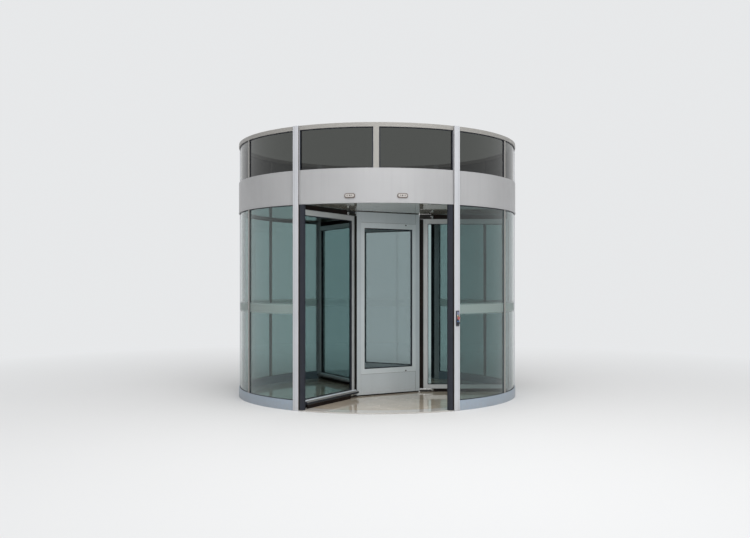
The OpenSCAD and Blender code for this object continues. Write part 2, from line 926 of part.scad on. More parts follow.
wing_bumper(wing_angles[0]);  // wing_a_bumper
wing_frame(wing_angles[1]);  // wing_b_frame
wing_glass(wing_angles[1]);  // wing_b_glass
wing_brushes(wing_angles[1]);  // wing_b_brushes
wing_bumper(wing_angles[1]);  // wing_b_bumper
wing_frame(wing_angles[2]);  // wing_c_frame
wing_glass(wing_angles[2]);  // wing_c_glass
wing_brushes(wing_angles[2]);  // wing_c_brushes
wing_bumper(wing_angles[2]);  // wing_c_bumper
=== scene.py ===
"""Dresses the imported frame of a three-wing revolving door: finishes, glass, brushes, seals and fittings.

Everything is in metres in the door's own frame: the origin is the drum's centre on the ground,
+Z is up and the front entrance faces -Y. Directions are degrees from +X, anticlockwise from above.
"""

import math

import bpy
import numpy as np
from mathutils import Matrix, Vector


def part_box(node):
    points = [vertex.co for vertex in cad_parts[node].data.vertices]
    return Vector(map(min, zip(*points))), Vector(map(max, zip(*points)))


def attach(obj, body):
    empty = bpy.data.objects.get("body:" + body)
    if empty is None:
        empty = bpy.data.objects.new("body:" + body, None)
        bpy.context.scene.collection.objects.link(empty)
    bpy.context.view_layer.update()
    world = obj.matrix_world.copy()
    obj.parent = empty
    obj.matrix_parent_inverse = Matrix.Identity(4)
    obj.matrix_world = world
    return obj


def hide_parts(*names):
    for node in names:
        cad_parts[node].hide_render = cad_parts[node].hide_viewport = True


bl_info = {
    "name": "Revolving door",
    "version": (1, 0, 0),
    "blender": (4, 5, 0),
    "location": "View3D > Sidebar > Revolving door",
    "description": "Dresses the packed frame of a three-wing revolving door",
    "category": "Object",
}

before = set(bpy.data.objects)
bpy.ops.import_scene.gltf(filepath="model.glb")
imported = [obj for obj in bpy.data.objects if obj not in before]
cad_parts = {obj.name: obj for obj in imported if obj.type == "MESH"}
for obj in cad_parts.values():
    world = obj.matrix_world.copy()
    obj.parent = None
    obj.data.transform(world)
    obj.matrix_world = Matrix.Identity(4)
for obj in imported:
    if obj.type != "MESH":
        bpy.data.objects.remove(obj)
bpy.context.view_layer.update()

# Directions of the entrances and side walls, of the wings, and of the core's faces between them
FRONT, REAR, RIGHT, LEFT = 270.0, 90.0, 0.0, 180.0
WINGS = {"wing_a": 0.0, "wing_b": 120.0, "wing_c": 240.0}
CORE_FACES = (60.0, 180.0, 300.0)
UP = np.array([0.0, 0.0, 1.0])
SIN_60 = math.sin(math.radians(60))

# Degrees from an entrance's middle to its posts, and from a side wall's middle to its mullions
POST_ANGLE = 30.2
MULLION_ANGLE = 30.0

# Levels and reaches that the trim follows, read from the frame
FLOOR_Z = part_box("floor_disc")[1].z
SILL_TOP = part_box("sill_left")[1].z
FASCIA_BOTTOM, FASCIA_TOP = (corner.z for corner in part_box("fascia_front"))
RING_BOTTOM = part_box("top_ring_front")[0].z
CEILING_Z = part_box("ceiling")[0].z
POST_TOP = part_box("front_posts")[1].z
CORE_BOTTOM, CORE_TOP = (corner.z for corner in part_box("core_posts"))
CORE_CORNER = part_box("core_posts")[1].x
DOORS_LOW, DOORS_HIGH = (corner.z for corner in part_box("showcase_doors"))
WING_BOTTOM, WING_TOP = (corner.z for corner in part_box("wing_a_frame"))
WING_IN, WING_OUT = (corner.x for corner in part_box("wing_a_frame"))
WING_HALF_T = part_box("wing_a_frame")[1].y
ARM_BOTTOM, ARM_TOP = (corner.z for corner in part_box("pivot_arms"))

# Radii, half widths and depths that no box gives: those pieces are curved, askew or share a node
DRUM_OUT_R = 1.85
POST_OUT_R = 1.872
GLASS_R = 1.825
PIVOT_R = 0.743
POST_HALF = 0.039
WALL_POST_HALF = 0.030
SIDE_MULLION_HALF = 0.015
CENTRE_MULLION_HALF = 0.033
CORE_CORNER_HALF = 0.030
CORE_FACE_R = CORE_CORNER * 0.5 + CORE_CORNER_HALF * SIN_60
PANEL_HALF = 0.4190
DOOR_OPENING_HALF = 0.3672
GLASS_GROOVE = 0.014
ARM_T = 0.024

# How far up the pivot blocks over the arms go, and how far out the end caps of the bumpers
BLOCK_TOP = ARM_TOP + 0.0275
BUMPER_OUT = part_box("wing_a_bumper")[1].x + 0.058

# Gaps too small to see, which keep the trim's faces off the frame's and off each other
SEAT = 0.0003
HAIR = 0.0002

# Angle between two faces from which on their edge shows as sharp
SHARP_ANGLE = math.radians(32)

# Colours that no setting changes
DUST = (0.30, 0.275, 0.235)
# Black of the arms: painted shade on the lower arms' undersides, and the upper arms' dark colour
ARM_BLACK_AND_SHADE = (0.018, 0.015, 0.013)
DARK_ANODISED = (0.035, 0.033, 0.032)
FROSTED_FILM = (0.42, 0.50, 0.48)
BROWN_BRISTLE = (0.020, 0.010, 0.0065)
THRESHOLD_STONE = (0.72, 0.70, 0.675)
STONE_JOINT = (0.07, 0.06, 0.05)
SAWN_STONE = (0.36, 0.345, 0.325)
# Pale bluish colour of the bumpers' lips: a painted highlight along their top edge
PAINTED_HIGHLIGHT = (0.78, 0.83, 0.88)
# Near-black filler in the recesses beside the posts: painted shade
RECESS_PAINTED_SHADE = (0.004, 0.004, 0.005)
JOINT_GREY = (0.16, 0.16, 0.17)
SENSOR_RIM = (0.11, 0.088, 0.077)
SENSOR_LENS = (0.012, 0.010, 0.010)
DETECTOR_WINDOW = (0.035, 0.022, 0.014)
SWITCH_BLACK = (0.022, 0.022, 0.030)
SWITCH_GREY = (0.15, 0.165, 0.23)
SWITCH_YELLOW = (0.66, 0.56, 0.22)
SWITCH_BLUE = (0.07, 0.17, 0.38)

# Width of the picture, and how far its frame is moved over a level camera's view, in pixels
PICTURE_WIDTH = 750
SHIFT_RIGHT, SHIFT_UP = -8.2, 13.0


# Settings


def colour_property(name, description, default):
    """A colour between black and white."""
    return bpy.props.FloatVectorProperty(
        name=name, description=description, default=default, subtype="COLOR", size=3, min=0, max=1
    )


def length_property(name, description, default):
    """A length or height in metres."""
    return bpy.props.FloatProperty(
        name=name, description=description, default=default, unit="LENGTH", min=0, precision=4
    )


def share_property(name, description, default):
    """A share between 0 and 1."""
    return bpy.props.FloatProperty(
        name=name, description=description, default=default, subtype="FACTOR", min=0, max=1
    )


def power_property(name, description, default):
    """The power of a lamp in watts."""
    return bpy.props.FloatProperty(name=name, description=description, default=default, unit="POWER")


class DoorFinishes(bpy.types.PropertyGroup):
    """Colours and gloss of the door's materials."""

    post_colour: colour_property("Posts", "Powder coat of the posts", (0.50, 0.51, 0.535))
    # The rings and mullions are coated like the posts; their darker colour is painted shade
    ring_shade_colour: colour_property("Rings", "Powder coat of the top rings and mullions", (0.30, 0.29, 0.272))
    sill_colour: colour_property("Sills", "Powder coat of the curved base sills", (0.30, 0.36, 0.43))
    fascia_colour: colour_property("Fascia", "Powder coat of the fascia band", (0.375, 0.375, 0.38))
    core_colour: colour_property("Core", "Powder coat of the turning core", (0.53, 0.565, 0.59))
    door_colour: colour_property("Showcase doors", "Powder coat of the showcase doors", (0.61, 0.645, 0.665))
    # The bumpers' covers are darker than the wing frames: painted shade
    bumper_shade_colour: colour_property("Bumpers", "Powder coat of the bumpers' covers", (0.25, 0.252, 0.25))
    wing_colour: colour_property("Wings", "Powder coat of the wing frames", (0.50, 0.51, 0.515))
    cover_colour: colour_property("Cover", "Paint of the dust cover over the ceiling", (0.20, 0.20, 0.19))
    showcase_colour: colour_property("Showcase", "Paint of the showcase's floor and roof", (0.5, 0.5, 0.49))
    ceiling_colour: colour_property("Ceiling", "Gloss enamel of the ceiling panel", (0.46, 0.445, 0.375))
    rubber_colour: colour_property("Rubber", "Safety strips and glazing seals", (0.009, 0.0108, 0.0172))
    bristle_colour: colour_property("Bristles", "Brushes of the wings and the core", (0.006, 0.0042, 0.0036))
    stone_colour: colour_property("Stone", "Polished floor stone", (0.66, 0.57, 0.46))
    steel_colour: colour_property("Steel", "Arms, pins and floor bearing", (0.62, 0.62, 0.61))
    drum_glass_colour: colour_property("Drum glass", "Tint of the curved glass", (0.385, 0.49, 0.485))
    wing_glass_colour: colour_property("Wing glass", "Tint of the wings' glass", (0.35, 0.455, 0.455))
    case_glass_colour: colour_property("Showcase glass", "Tint of the showcase glass", (0.53, 0.59, 0.595))
    # The clerestory glass is tinted near black: painted shade of the dark space behind it
    upper_glass_colour: colour_property("Upper glass", "Tint of the clerestory glass", (0.066, 0.070, 0.063))
    sensor_colour: colour_property("Sensors", "Shell of the motion sensors", (0.33, 0.315, 0.30))
    button_colour: colour_property("Button", "Mushroom of the emergency button", (0.29, 0.085, 0.075))
    # The dark brown strips beside the posts are painted shade on the posts' side faces
    reveal_shade_colour: colour_property("Reveals", "Bronze strips beside the posts", (0.085, 0.066, 0.052))
    coat_roughness: share_property("Coat roughness", "Roughness of the powder coat", 0.36)
    coat_metal: share_property("Coat metal", "How metallic the powder coat looks", 0.35)
    band_bottom: length_property("Band bottom", "Height of the frosted band's lower edge", 1.127)
    band_top: length_property("Band top", "Height of the frosted band's upper edge", 1.240)


class TrimSizes(bpy.types.PropertyGroup):
    """Sizes of the seals, brushes and fittings that the frame doesn't carry."""

    seal_w: length_property("Seal", "Height of the black seals that hold the drum's glass", 0.010)
    wing_seal_w: length_property("Wing seal", "Width of the seals round the wings' glass", 0.009)
    case_seal_w: length_property("Showcase seal", "Width of the seals round the showcase glass", 0.013)
    tuft_pitch: length_property("Tuft pitch", "Distance between the tufts of a brush", 0.0046)
    tuft_r: length_property("Tuft radius", "Radius of one tuft at its root", 0.0021)
    lock_r: length_property("Lock", "Radius of the showcase doors' locks", 0.0105)
    bolt_r: length_property("Bolt", "Radius of the bolt heads on the arms", 0.0065)


class StudioSettings(bpy.types.PropertyGroup):
    """Floor, lights and camera."""

    floor_colour: colour_property("Floor", "Colour of the studio floor", (0.76, 0.76, 0.76))
    backdrop_colour: colour_property("Backdrop", "Colour of the background", (0.80, 0.81, 0.82))
    key_power: power_property("Key light", "Power of the front softbox", 520)
    top_power: power_property("Top light", "Power of the softbox overhead", 420)
    side_power: power_property("Side lights", "Power of each side softbox", 10)
    rear_power: power_property("Rear light", "Power of the softbox behind", 260)
    world_strength: share_property("Sky", "Strength of the even light from all round", 0.50)
    camera_distance: length_property("Camera distance", "From the drum's centre", 11.2)
    camera_side: length_property("Camera side", "To the right of the drum's centre", 0.08)
    camera_height: length_property("Camera height", "Eye height", 1.5)
    camera_lens: bpy.props.FloatProperty(
        name="Lens", description="Focal length in mm", default=39.58, min=1
    )


# Surfaces


def circle(count, start=0.0):
    """Cosines and sines of directions spaced evenly all round."""
    turn = np.linspace(0, 2 * math.pi, count, endpoint=False) + start
    return np.cos(turn), np.sin(turn)


def skin(grid, loop=False):
    """Faces over a grid of points: rows are rings, each closed round, joined row to row.

    The rings run anticlockwise seen from the side the rows advance to. With loop the last
    row joins the first, and without it a flat cap closes each end. The faces come as arrays,
    each with its own number of corners: the sides, and then the caps."""
    rows, sides = grid.shape[:2]
    row = np.arange(rows if loop else rows - 1)[:, None]
    side = np.arange(sides)[None, :]
    after, beside = (row + 1) % rows, (side + 1) % sides
    corners = [row * sides + side, row * sides + beside, after * sides + beside, after * sides + side]
    faces = [np.stack(np.broadcast_arrays(*corners), -1).reshape(-1, 4)]
    if not loop:
        faces += [side[:, ::-1], (rows - 1) * sides + side]
    return grid.reshape(-1, 3), faces


def carried(profile, origins, across, up, loop=False):
    """A closed profile carried along a path: point = origin + x * across + y * up."""
    x, y = profile[None, :, :1], profile[None, :, 1:]
    return skin(origins[:, None] + x * across[:, None] + y * up[:, None], loop)


def arc_bar(profile, start, end):
    """A profile of radius and height turned about the drum's axis between two directions, with
    a ring at least every step degrees."""
    step = 1.5
    count = max(2, int(abs(end - start) / step) + 1)
    turn = np.radians(np.linspace(max(start, end), min(start, end), count))
    across = np.stack([np.cos(turn), np.sin(turn), 0 * turn], -1)
    return carried(profile, 0 * across, across, np.tile(UP, (count, 1)))


def straight_bar(profile, start, end, across, up):
    """A profile carried straight between two points, in the order that turns its faces outwards."""
    if np.dot(np.cross(across, up), end - start) < 0:
        start, end = end, start
    return carried(profile, np.stack([start, end]), np.stack([across, across]), np.stack([up, up]))


def framed_bar(profile, centre, right, up, half_w, half_h):
    """A profile carried round a rectangle with mitred corners.

    x in the profile runs inwards from the rectangle's edge, and y runs out of its plane."""
    sides = np.array([[-1, -1], [1, -1], [1, 1], [-1, 1]], float)
    origins = centre + sides[:, :1] * half_w * right + sides[:, 1:] * half_h * up
    inwards = -sides[:, :1] * right - sides[:, 1:] * up
    outwards = np.tile(np.cross(right, up), (4, 1))
    return carried(profile, origins, inwards, outwards, loop=True)


def turned(profile, centre, axis, sides=32):
    """A profile of radius and height turned about its own axis, closed by flat caps."""
    axis = axis / np.linalg.norm(axis)
    upright = abs(axis[2]) >= 0.9
    first = np.cross(axis, [1.0, 0.0, 0.0] if upright else UP)
    first /= np.linalg.norm(first)
    second = np.cross(axis, first)
    cos, sin = circle(sides)
    ring = cos[:, None] * first + sin[:, None] * second
    radius, height = profile[:, :1, None], profile[:, 1:, None]
    return skin(centre + radius * ring[None] + height * axis)


def rounded_outline(width, height, radius, count=40):
    """Anticlockwise rectangle with round corners: a circle's points pushed into the corners.

    With a radius of half the height it is a slot with round ends."""
    cos, sin = circle(count, math.pi / count)
    return np.stack([
        radius * cos + np.sign(cos) * (width / 2 - radius),
        radius * sin + np.sign(sin) * (height / 2 - radius),
    ], -1)


def stacked(outline, steps, centre, right, up):
    """Outlines stacked along right x up: each step gives a scale per axis and a height."""
    out = np.cross(right, up)
    steps = np.asarray(steps, float)
    x = steps[:, 0, None] * outline[None, :, 0]
    y = steps[:, 1, None] * outline[None, :, 1]
    return skin(
        centre + x[..., None] * right + y[..., None] * up + steps[:, 2, None, None] * out
    )


def rectangle(x0, y0, x1, y1, bevel=0.0):
    """Anticlockwise rectangle, with bevelled corners if a bevel is given."""
    if not bevel:
        return np.array([[x0, y0], [x1, y0], [x1, y1], [x0, y1]], float)
    return np.array([
        [x0 + bevel, y0], [x1 - bevel, y0], [x1, y0 + bevel], [x1, y1 - bevel],
        [x1 - bevel, y1], [x0 + bevel, y1], [x0, y1 - bevel], [x0, y0 + bevel],
    ], float)


def directions(angle):
    """Outward and anticlockwise unit vectors for a direction seen from above."""
    turn = math.radians(angle)
    out = np.array([math.cos(turn), math.sin(turn), 0.0])
    return out, np.array([-out[1], out[0], 0.0])


def degrees_across(half_w, radius=GLASS_R):
    """Degrees about the drum's axis that a half width takes up at a radius."""
    return math.degrees(math.asin(half_w / radius))


def made_mesh(name, points, faces):
    """A mesh of points and of arrays of faces."""
    mesh = bpy.data.meshes.new(name)
    mesh.from_pydata(points, [], [face for part in faces for face in part.tolist()])
    return mesh


class Piece:
    """Points and faces gathered for one object, with a finish for each part of it."""

    def __init__(self, name, body):
        self.name, self.body = name, body
        self.points, self.faces, self.finish_of_face, self.finishes = [], [], [], []
        self.count = 0

    def add(self, surface, finish):
        """Adds a surface's points, and its faces with their indices moved past the last ones."""
        points, faces = surface
        if finish not in self.finishes:
            self.finishes.append(finish)
        self.points.append(points)
        self.faces += [part + self.count for part in faces]
        self.finish_of_face += [self.finishes.index(finish)] * sum(len(part) for part in faces)
        self.count += len(points)

    def build(self, slot, replaces=()):
        """Makes the object, at the origin with its place in its mesh."""
        mesh = made_mesh(self.name, np.concatenate(self.points), self.faces)
        for finish in self.finishes:
            mesh.materials.append(finish)
        mesh.polygons.foreach_set("material_index", self.finish_of_face)
        mesh.shade_smooth()
        mesh.set_sharp_from_angle(angle=SHARP_ANGLE)
        piece = bpy.data.objects.new(self.name, mesh)
        bpy.context.scene.collection.objects.link(piece)
        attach(piece, self.body)
        if replaces:
            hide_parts(*replaces)


# Finishes


class Nodes:
    """A node tree being built, with short calls for the nodes that the finishes and the sky share."""

    def __init__(self, tree):
        self.tree = tree

    def node(self, kind, **settings):
        """A new node of a kind, with some of its settings changed."""
        made = self.tree.nodes.new(kind)
        for key, value in settings.items():
            setattr(made, key, value)
        return made

    def feed(self, value, socket):
        """Links another node's output to a socket, or sets a plain value on it."""
        if isinstance(value, bpy.types.NodeSocket):
            self.tree.links.new(value, socket)
        else:
            socket.default_value = value

    def maths(self, kind, a, b=0.0):
        """One operation on two values."""
        node = self.node("ShaderNodeMath", operation=kind)
        self.feed(a, node.inputs[0])
        self.feed(b, node.inputs[1])
        return node.outputs["Value"]

    def seen(self):
        """1 on the rays that see, straight, in gloss or through glass, and 0 on the rest."""
        path = self.node("ShaderNodeLightPath").outputs
        seen = self.maths("MAXIMUM", path["Is Camera Ray"], path["Is Transmission Ray"])
        return self.maths("MAXIMUM", seen, path["Is Glossy Ray"])

    def mixed(self, share, first, second, surface):
        """Feeds a surface with two shaders mixed by a share."""
        node = self.node("ShaderNodeMixShader")
        for value, socket in zip((share, first, second), node.inputs):
            self.feed(value, socket)
        self.feed(node.outputs["Shader"], surface)


class Finish(Nodes):
    """A node material being built, whose patterns read Object coordinates."""

    def __init__(self, name):
        self.material = bpy.data.materials.new(name)
        self.material.use_nodes = True
        super().__init__(self.material.node_tree)
        self.shader = self.tree.nodes["Principled BSDF"]
        self.output = self.tree.nodes["Material Output"]
        self.place = self.node("ShaderNodeTexCoord").outputs["Object"]

    def set(self, **values):
        """Feeds the shader's own sockets, named with _ for a space."""
        for key, value in values.items():
            self.feed(value, self.shader.inputs[key.replace("_", " ")])

    def noise(self, scale, detail, stretch=(1, 1, 1), roughness=0.5):
        """Noise over the piece, drawn out along an axis where stretch is small."""
        mapping = self.node("ShaderNodeMapping")
        self.feed(self.place, mapping.inputs["Vector"])
        mapping.inputs["Scale"].default_value = stretch
        texture = self.node("ShaderNodeTexNoise")
        self.feed(mapping.outputs["Vector"], texture.inputs["Vector"])
        texture.inputs["Scale"].default_value = scale
        texture.inputs["Detail"].default_value = detail
        texture.inputs["Roughness"].default_value = roughness
        return texture.outputs["Fac"]

    def ranged(self, value, low, high, to_low=0.0, to_high=1.0):
        """A value moved from one range to another and held inside it."""
        node = self.node("ShaderNodeMapRange")
        for socket, number in zip(node.inputs[:5], (value, low, high, to_low, to_high)):
            self.feed(number, socket)
        return node.outputs["Result"]

    def above(self, value, edge, soft):
        """0 where a value is under an edge and 1 where it is over it, soft across it."""
        return self.ranged(value, edge - soft, edge + soft)

    def below(self, value, edge, soft):
        """1 where a value is under an edge and 0 where it is over it, soft across it."""
        return self.ranged(value, edge - soft, edge + soft, 1.0, 0.0)

    def away(self, value, middle):
        """How far a value is from a middle, either way."""
        return self.maths("ABSOLUTE", self.maths("SUBTRACT", value, middle))

    def blended(self, share, a, b):
        """Two colours blended by a share, by a mix node that has one set of sockets for each kind."""
        factor, first, second, result = 0, 6, 7, 2
        node = self.node("ShaderNodeMix", data_type="RGBA")
        self.feed(share, node.inputs[factor])
        for colour, socket in ((a, node.inputs[first]), (b, node.inputs[second])):
            self.feed(colour if isinstance(colour, bpy.types.NodeSocket) else (*colour, 1.0), socket)
        return node.outputs[result]

    def height(self):
        """Height above the ground."""
        split = self.node("ShaderNodeSeparateXYZ")
        self.feed(self.place, split.inputs[0])
        return split.outputs["Z"]

    def radius(self):
        """Distance from the origin."""
        length = self.node("ShaderNodeVectorMath", operation="LENGTH")
        self.feed(self.place, length.inputs[0])
        return length.outputs["Value"]

    def bump(self, value, strength, distance):
        """Relief, with its full height as a distance in metres."""
        node = self.node("ShaderNodeBump")
        self.feed(value, node.inputs["Height"])
        node.inputs["Strength"].default_value = strength
        node.inputs["Distance"].default_value = distance
        self.feed(node.outputs["Normal"], self.shader.inputs["Normal"])


def shade(colour, factor):
    """A colour made lighter or darker by a factor."""
    return tuple(min(1.0, channel * factor) for channel in colour)


def powder_coat(name, colour, roughness, metal, dust=0.0):
    """Satin powder coat: slow changes of tone, faint rain streaks down it, fine orange peel,
    and dust in spots that fades out up to a height above the ground."""
    finish, dust_height = Finish(name), 0.16
    tone = finish.ranged(finish.noise(1.7, 3), 0.3, 0.7)
    streaks = finish.ranged(finish.noise(26, 3, (1, 1, 0.035)), 0.52, 0.78, 0.0, 0.22)
    paint_colour = finish.blended(tone, shade(colour, 0.955), shade(colour, 1.03))
    paint_colour = finish.blended(streaks, paint_colour, shade(colour, 0.80))
    if dust:
        low = finish.ranged(finish.height(), 0.0, dust_height, 1.0, 0.0)
        spots = finish.ranged(finish.noise(34, 4), 0.35, 0.7, 0.25, 1.0)
        dusty = finish.maths("MULTIPLY", finish.maths("MULTIPLY", low, spots), dust)
        paint_colour = finish.blended(dusty, paint_colour, DUST)
    gloss = finish.ranged(finish.noise(9, 4), 0.25, 0.75, roughness - 0.05, roughness + 0.07)
    finish.set(Base_Color=paint_colour, Roughness=gloss, Metallic=metal)
    finish.bump(finish.noise(620, 2), 0.10, 0.0004)
    return finish.material


def gloss_enamel(name, colour, roughness):
    """Glossy enamel with slow changes of tone and a faint orange peel under a clear coat."""
    finish = Finish(name)
    tone = finish.ranged(finish.noise(1.1, 3), 0.3, 0.7)
    finish.set(
        Base_Color=finish.blended(tone, shade(colour, 0.92), shade(colour, 1.08)),
        Roughness=finish.ranged(finish.noise(14, 3), 0.3, 0.7, roughness * 0.8, roughness * 1.3),
        Coat_Weight=0.6,
        Coat_Roughness=0.04,
    )
    finish.bump(finish.noise(70, 2), 0.04, 0.0006)
    return finish.material


def ground_steel(finish, colour):
    """Fine grinding lines, as noise and as relief, and the steel's cloudy tone under them."""
    lines = finish.noise(380, 3, (1, 1, 0.04))
    finish.bump(lines, 0.05, 0.0003)
    return lines, finish.blended(finish.noise(12, 3), shade(colour, 0.9), shade(colour, 1.06))


def bright_steel(name, colour, roughness):
    """Bright steel with fine grinding lines that change its roughness."""
    finish = Finish(name)
    lines, tone = ground_steel(finish, colour)
    gloss = finish.ranged(lines, 0.3, 0.7, roughness - 0.06, roughness + 0.12)
    finish.set(Base_Color=tone, Roughness=gloss, Metallic=1.0)
    return finish.material


def arm_metal(name, colour, shade_below, dark_above):
    """Bright steel between two heights and black outside them, with fine grinding lines. The black under the
    lower height is painted shade on the lower arms' undersides; over the upper height it darkens the upper
    arms.
    """
    finish, soft = Finish(name), 0.001
    lines, tone = ground_steel(finish, colour)
    height = finish.height()
    upper, lower = finish.above(height, dark_above, soft), finish.below(height, shade_below, soft)
    # Share of black: painted shade under the lower arms, and the dark upper arms
    black_and_shade = finish.maths("MAXIMUM", upper, lower)
    steel_gloss = finish.ranged(lines, 0.3, 0.7, 0.18, 0.34)
    finish.set(
        Base_Color=finish.blended(black_and_shade, tone, ARM_BLACK_AND_SHADE),
        Roughness=finish.maths("ADD", steel_gloss, finish.maths("MULTIPLY", black_and_shade, 0.25)),
        Metallic=finish.ranged(black_and_shade, 0.0, 1.0, 1.0, 0.0),
    )
    return finish.material


def clear_glass(name, tint, band=None):
    """Clear glass that lets light through to what it stands before, faintly smeared. For shadows,
    and behind three other panes of two faces each, it is plain and pale, the tint to a low power.
    With a band it is frosted between two heights, by a film that scatters the light."""
    finish = Finish(name)
    soft, three_panes, low_power = 0.015, 5.5, 0.09
    smears = finish.ranged(finish.noise(2.6, 4), 0.5, 0.8, 0.0, 0.012)
    colour = finish.blended(finish.noise(0.9, 1), shade(tint, 0.985), tint)
    if band:
        height = finish.height()
        over, under = finish.above(height, band[0], soft), finish.below(height, band[1], soft)
        frosted = finish.maths("MULTIPLY", over, under)
        smears = finish.maths("ADD", smears, finish.maths("MULTIPLY", frosted, 0.45))
        colour = finish.blended(frosted, colour, FROSTED_FILM)
        speckle = finish.ranged(finish.noise(260, 3), 0.3, 0.7, 0.26, 0.36)
        held = finish.maths("MULTIPLY", frosted, speckle)
        finish.set(Transmission_Weight=finish.maths("SUBTRACT", 1.0, held))
    else:
        finish.set(Transmission_Weight=1.0)
    finish.set(Base_Color=colour, Roughness=smears, IOR=1.5)
    clear = finish.node("ShaderNodeBsdfTransparent")
    clear.inputs["Color"].default_value = (*[max(channel, 0.2)**low_power for channel in tint], 1.0)
    path = finish.node("ShaderNodeLightPath").outputs
    deep = finish.maths("GREATER_THAN", path["Transmission Depth"], three_panes)
    plain = finish.maths("MAXIMUM", path["Is Shadow Ray"], deep)
    surface = finish.output.inputs["Surface"]
    finish.mixed(plain, finish.shader.outputs["BSDF"], clear.outputs["BSDF"], surface)
    return finish.material


def black_rubber(name, colour, roughness=0.55):
    """Moulded rubber: a pale bloom in cloudy patches and scuffs drawn out upwards."""
    finish = Finish(name)
    bloom = finish.ranged(finish.noise(7, 4), 0.4, 0.75, 0.0, 0.25)
    scuffs = finish.ranged(finish.noise(150, 3, (1, 1, 0.08)), 0.58, 0.8, 0.0, 0.5)
    body = finish.blended(bloom, colour, shade(colour, 1.8))
    finish.set(
        Base_Color=finish.blended(scuffs, body, shade(colour, 2.6)),
        Roughness=finish.ranged(bloom, 0.0, 0.25, roughness - 0.08, roughness + 0.15),
    )
    finish.bump(finish.noise(900, 2), 0.12, 0.0003)
    return finish.material


def bristle_black(name, colour):
    """Dense bristle: each tuft a little lighter or browner than the next, hardly glossy."""
    finish = Finish(name)
    strands = finish.ranged(finish.noise(420, 2), 0.35, 0.7)
    brown = finish.ranged(finish.noise(6, 3), 0.4, 0.75, 0.0, 0.6)
    body = finish.blended(strands, shade(colour, 0.5), shade(colour, 1.9))
    finish.set(
        Base_Color=finish.blended(brown, body, BROWN_BRISTLE),
        Roughness=finish.ranged(strands, 0.0, 1.0, 0.45, 0.75),
        Specular_IOR_Level=0.22,
    )
    return finish.material


def polished_stone(name, colour, band_r, top):
    """Polished limestone: clouds, fine grain and thin paler veins under a mirror polish.
    Outside band_r it is a paler ring of threshold stones behind a thin dark joint, and its
    rim under the height top is left unpolished."""
    finish = Finish(name)
    joint_half, joint_edge, rim_from, rim_to = 0.0015, 0.003, 0.0020, 0.0006
    clouds = finish.ranged(finish.noise(2.4, 5, roughness=0.6), 0.3, 0.7)
    grain = finish.ranged(finish.noise(90, 4, roughness=0.7), 0.35, 0.7)
    vein_noise = finish.noise(1.5, 6, roughness=0.62)
    veins = finish.ranged(finish.away(vein_noise, 0.5), 0.0, 0.014, 0.55, 0.0)
    radius = finish.radius()
    ring = finish.above(radius, band_r, joint_half)
    joint = finish.ranged(finish.away(radius, band_r), joint_half, joint_edge, 0.75, 0.0)
    rim = finish.ranged(finish.height(), top - rim_from, top - rim_to, 1.0, 0.0)
    stone = finish.blended(clouds, shade(colour, 0.88), shade(colour, 1.07))
    stone = finish.blended(finish.maths("MULTIPLY", grain, 0.25), stone, shade(colour, 0.72))
    stone = finish.blended(veins, stone, shade(colour, 1.3))
    stone = finish.blended(finish.maths("MULTIPLY", ring, 0.75), stone, THRESHOLD_STONE)
    stone = finish.blended(joint, stone, STONE_JOINT)
    stone = finish.blended(rim, stone, SAWN_STONE)
    finish.set(
        Base_Color=stone,
        Roughness=finish.ranged(finish.noise(5, 4), 0.3, 0.7, 0.02, 0.07),
        Coat_Weight=0.4,
        Coat_Roughness=0.02,
    )
    return finish.material


def moulded_plastic(name, colour, roughness):
    """Moulded plastic with a fine grain and faint handling marks."""
    finish = Finish(name)
    marks = finish.ranged(finish.noise(60, 3), 0.45, 0.75, 0.0, 0.5)
    finish.set(
        Base_Color=finish.blended(marks, colour, shade(colour, 1.25)),
        Roughness=finish.ranged(finish.noise(45, 3), 0.3, 0.7, roughness - 0.06, roughness + 0.1),
    )
    finish.bump(finish.noise(1400, 2), 0.08, 0.0002)
    return finish.material


def finish_named(name, maker, *values, **more):
    """The door's material of that name, made the first time it is asked for."""
    full_name = "door_" + name
    return bpy.data.materials.get(full_name) or maker(full_name, *values, **more)


def rubber():
    """The rubber of every seal, joint and bumper."""
    return finish_named("seal_rubber", black_rubber, bpy.context.scene.door_finishes.rubber_colour)


def steel():
    """The bright steel of bolts, pins and bearing."""
    colour = bpy.context.scene.door_finishes.steel_colour
    return finish_named("bright_steel", bright_steel, colour, roughness=0.24)


def dark_metal():
    """The dark metal of holders, blocks and locks."""
    return finish_named("dark_anodised", powder_coat, DARK_ANODISED, roughness=0.38, metal=0.5)


def coat(name, colour, dust=0.0):
    """A powder coat with the gloss that the settings give."""
    finishes = bpy.context.scene.door_finishes
    return finish_named(name, powder_coat, colour, finishes.coat_roughness, finishes.coat_metal, dust=dust)


def paint(material, *nodes):
    """Gives CAD nodes a material in place of the plain one that they were packed with."""
    for node in nodes:
        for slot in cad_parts[node].material_slots:
            slot.material = material


# Operators


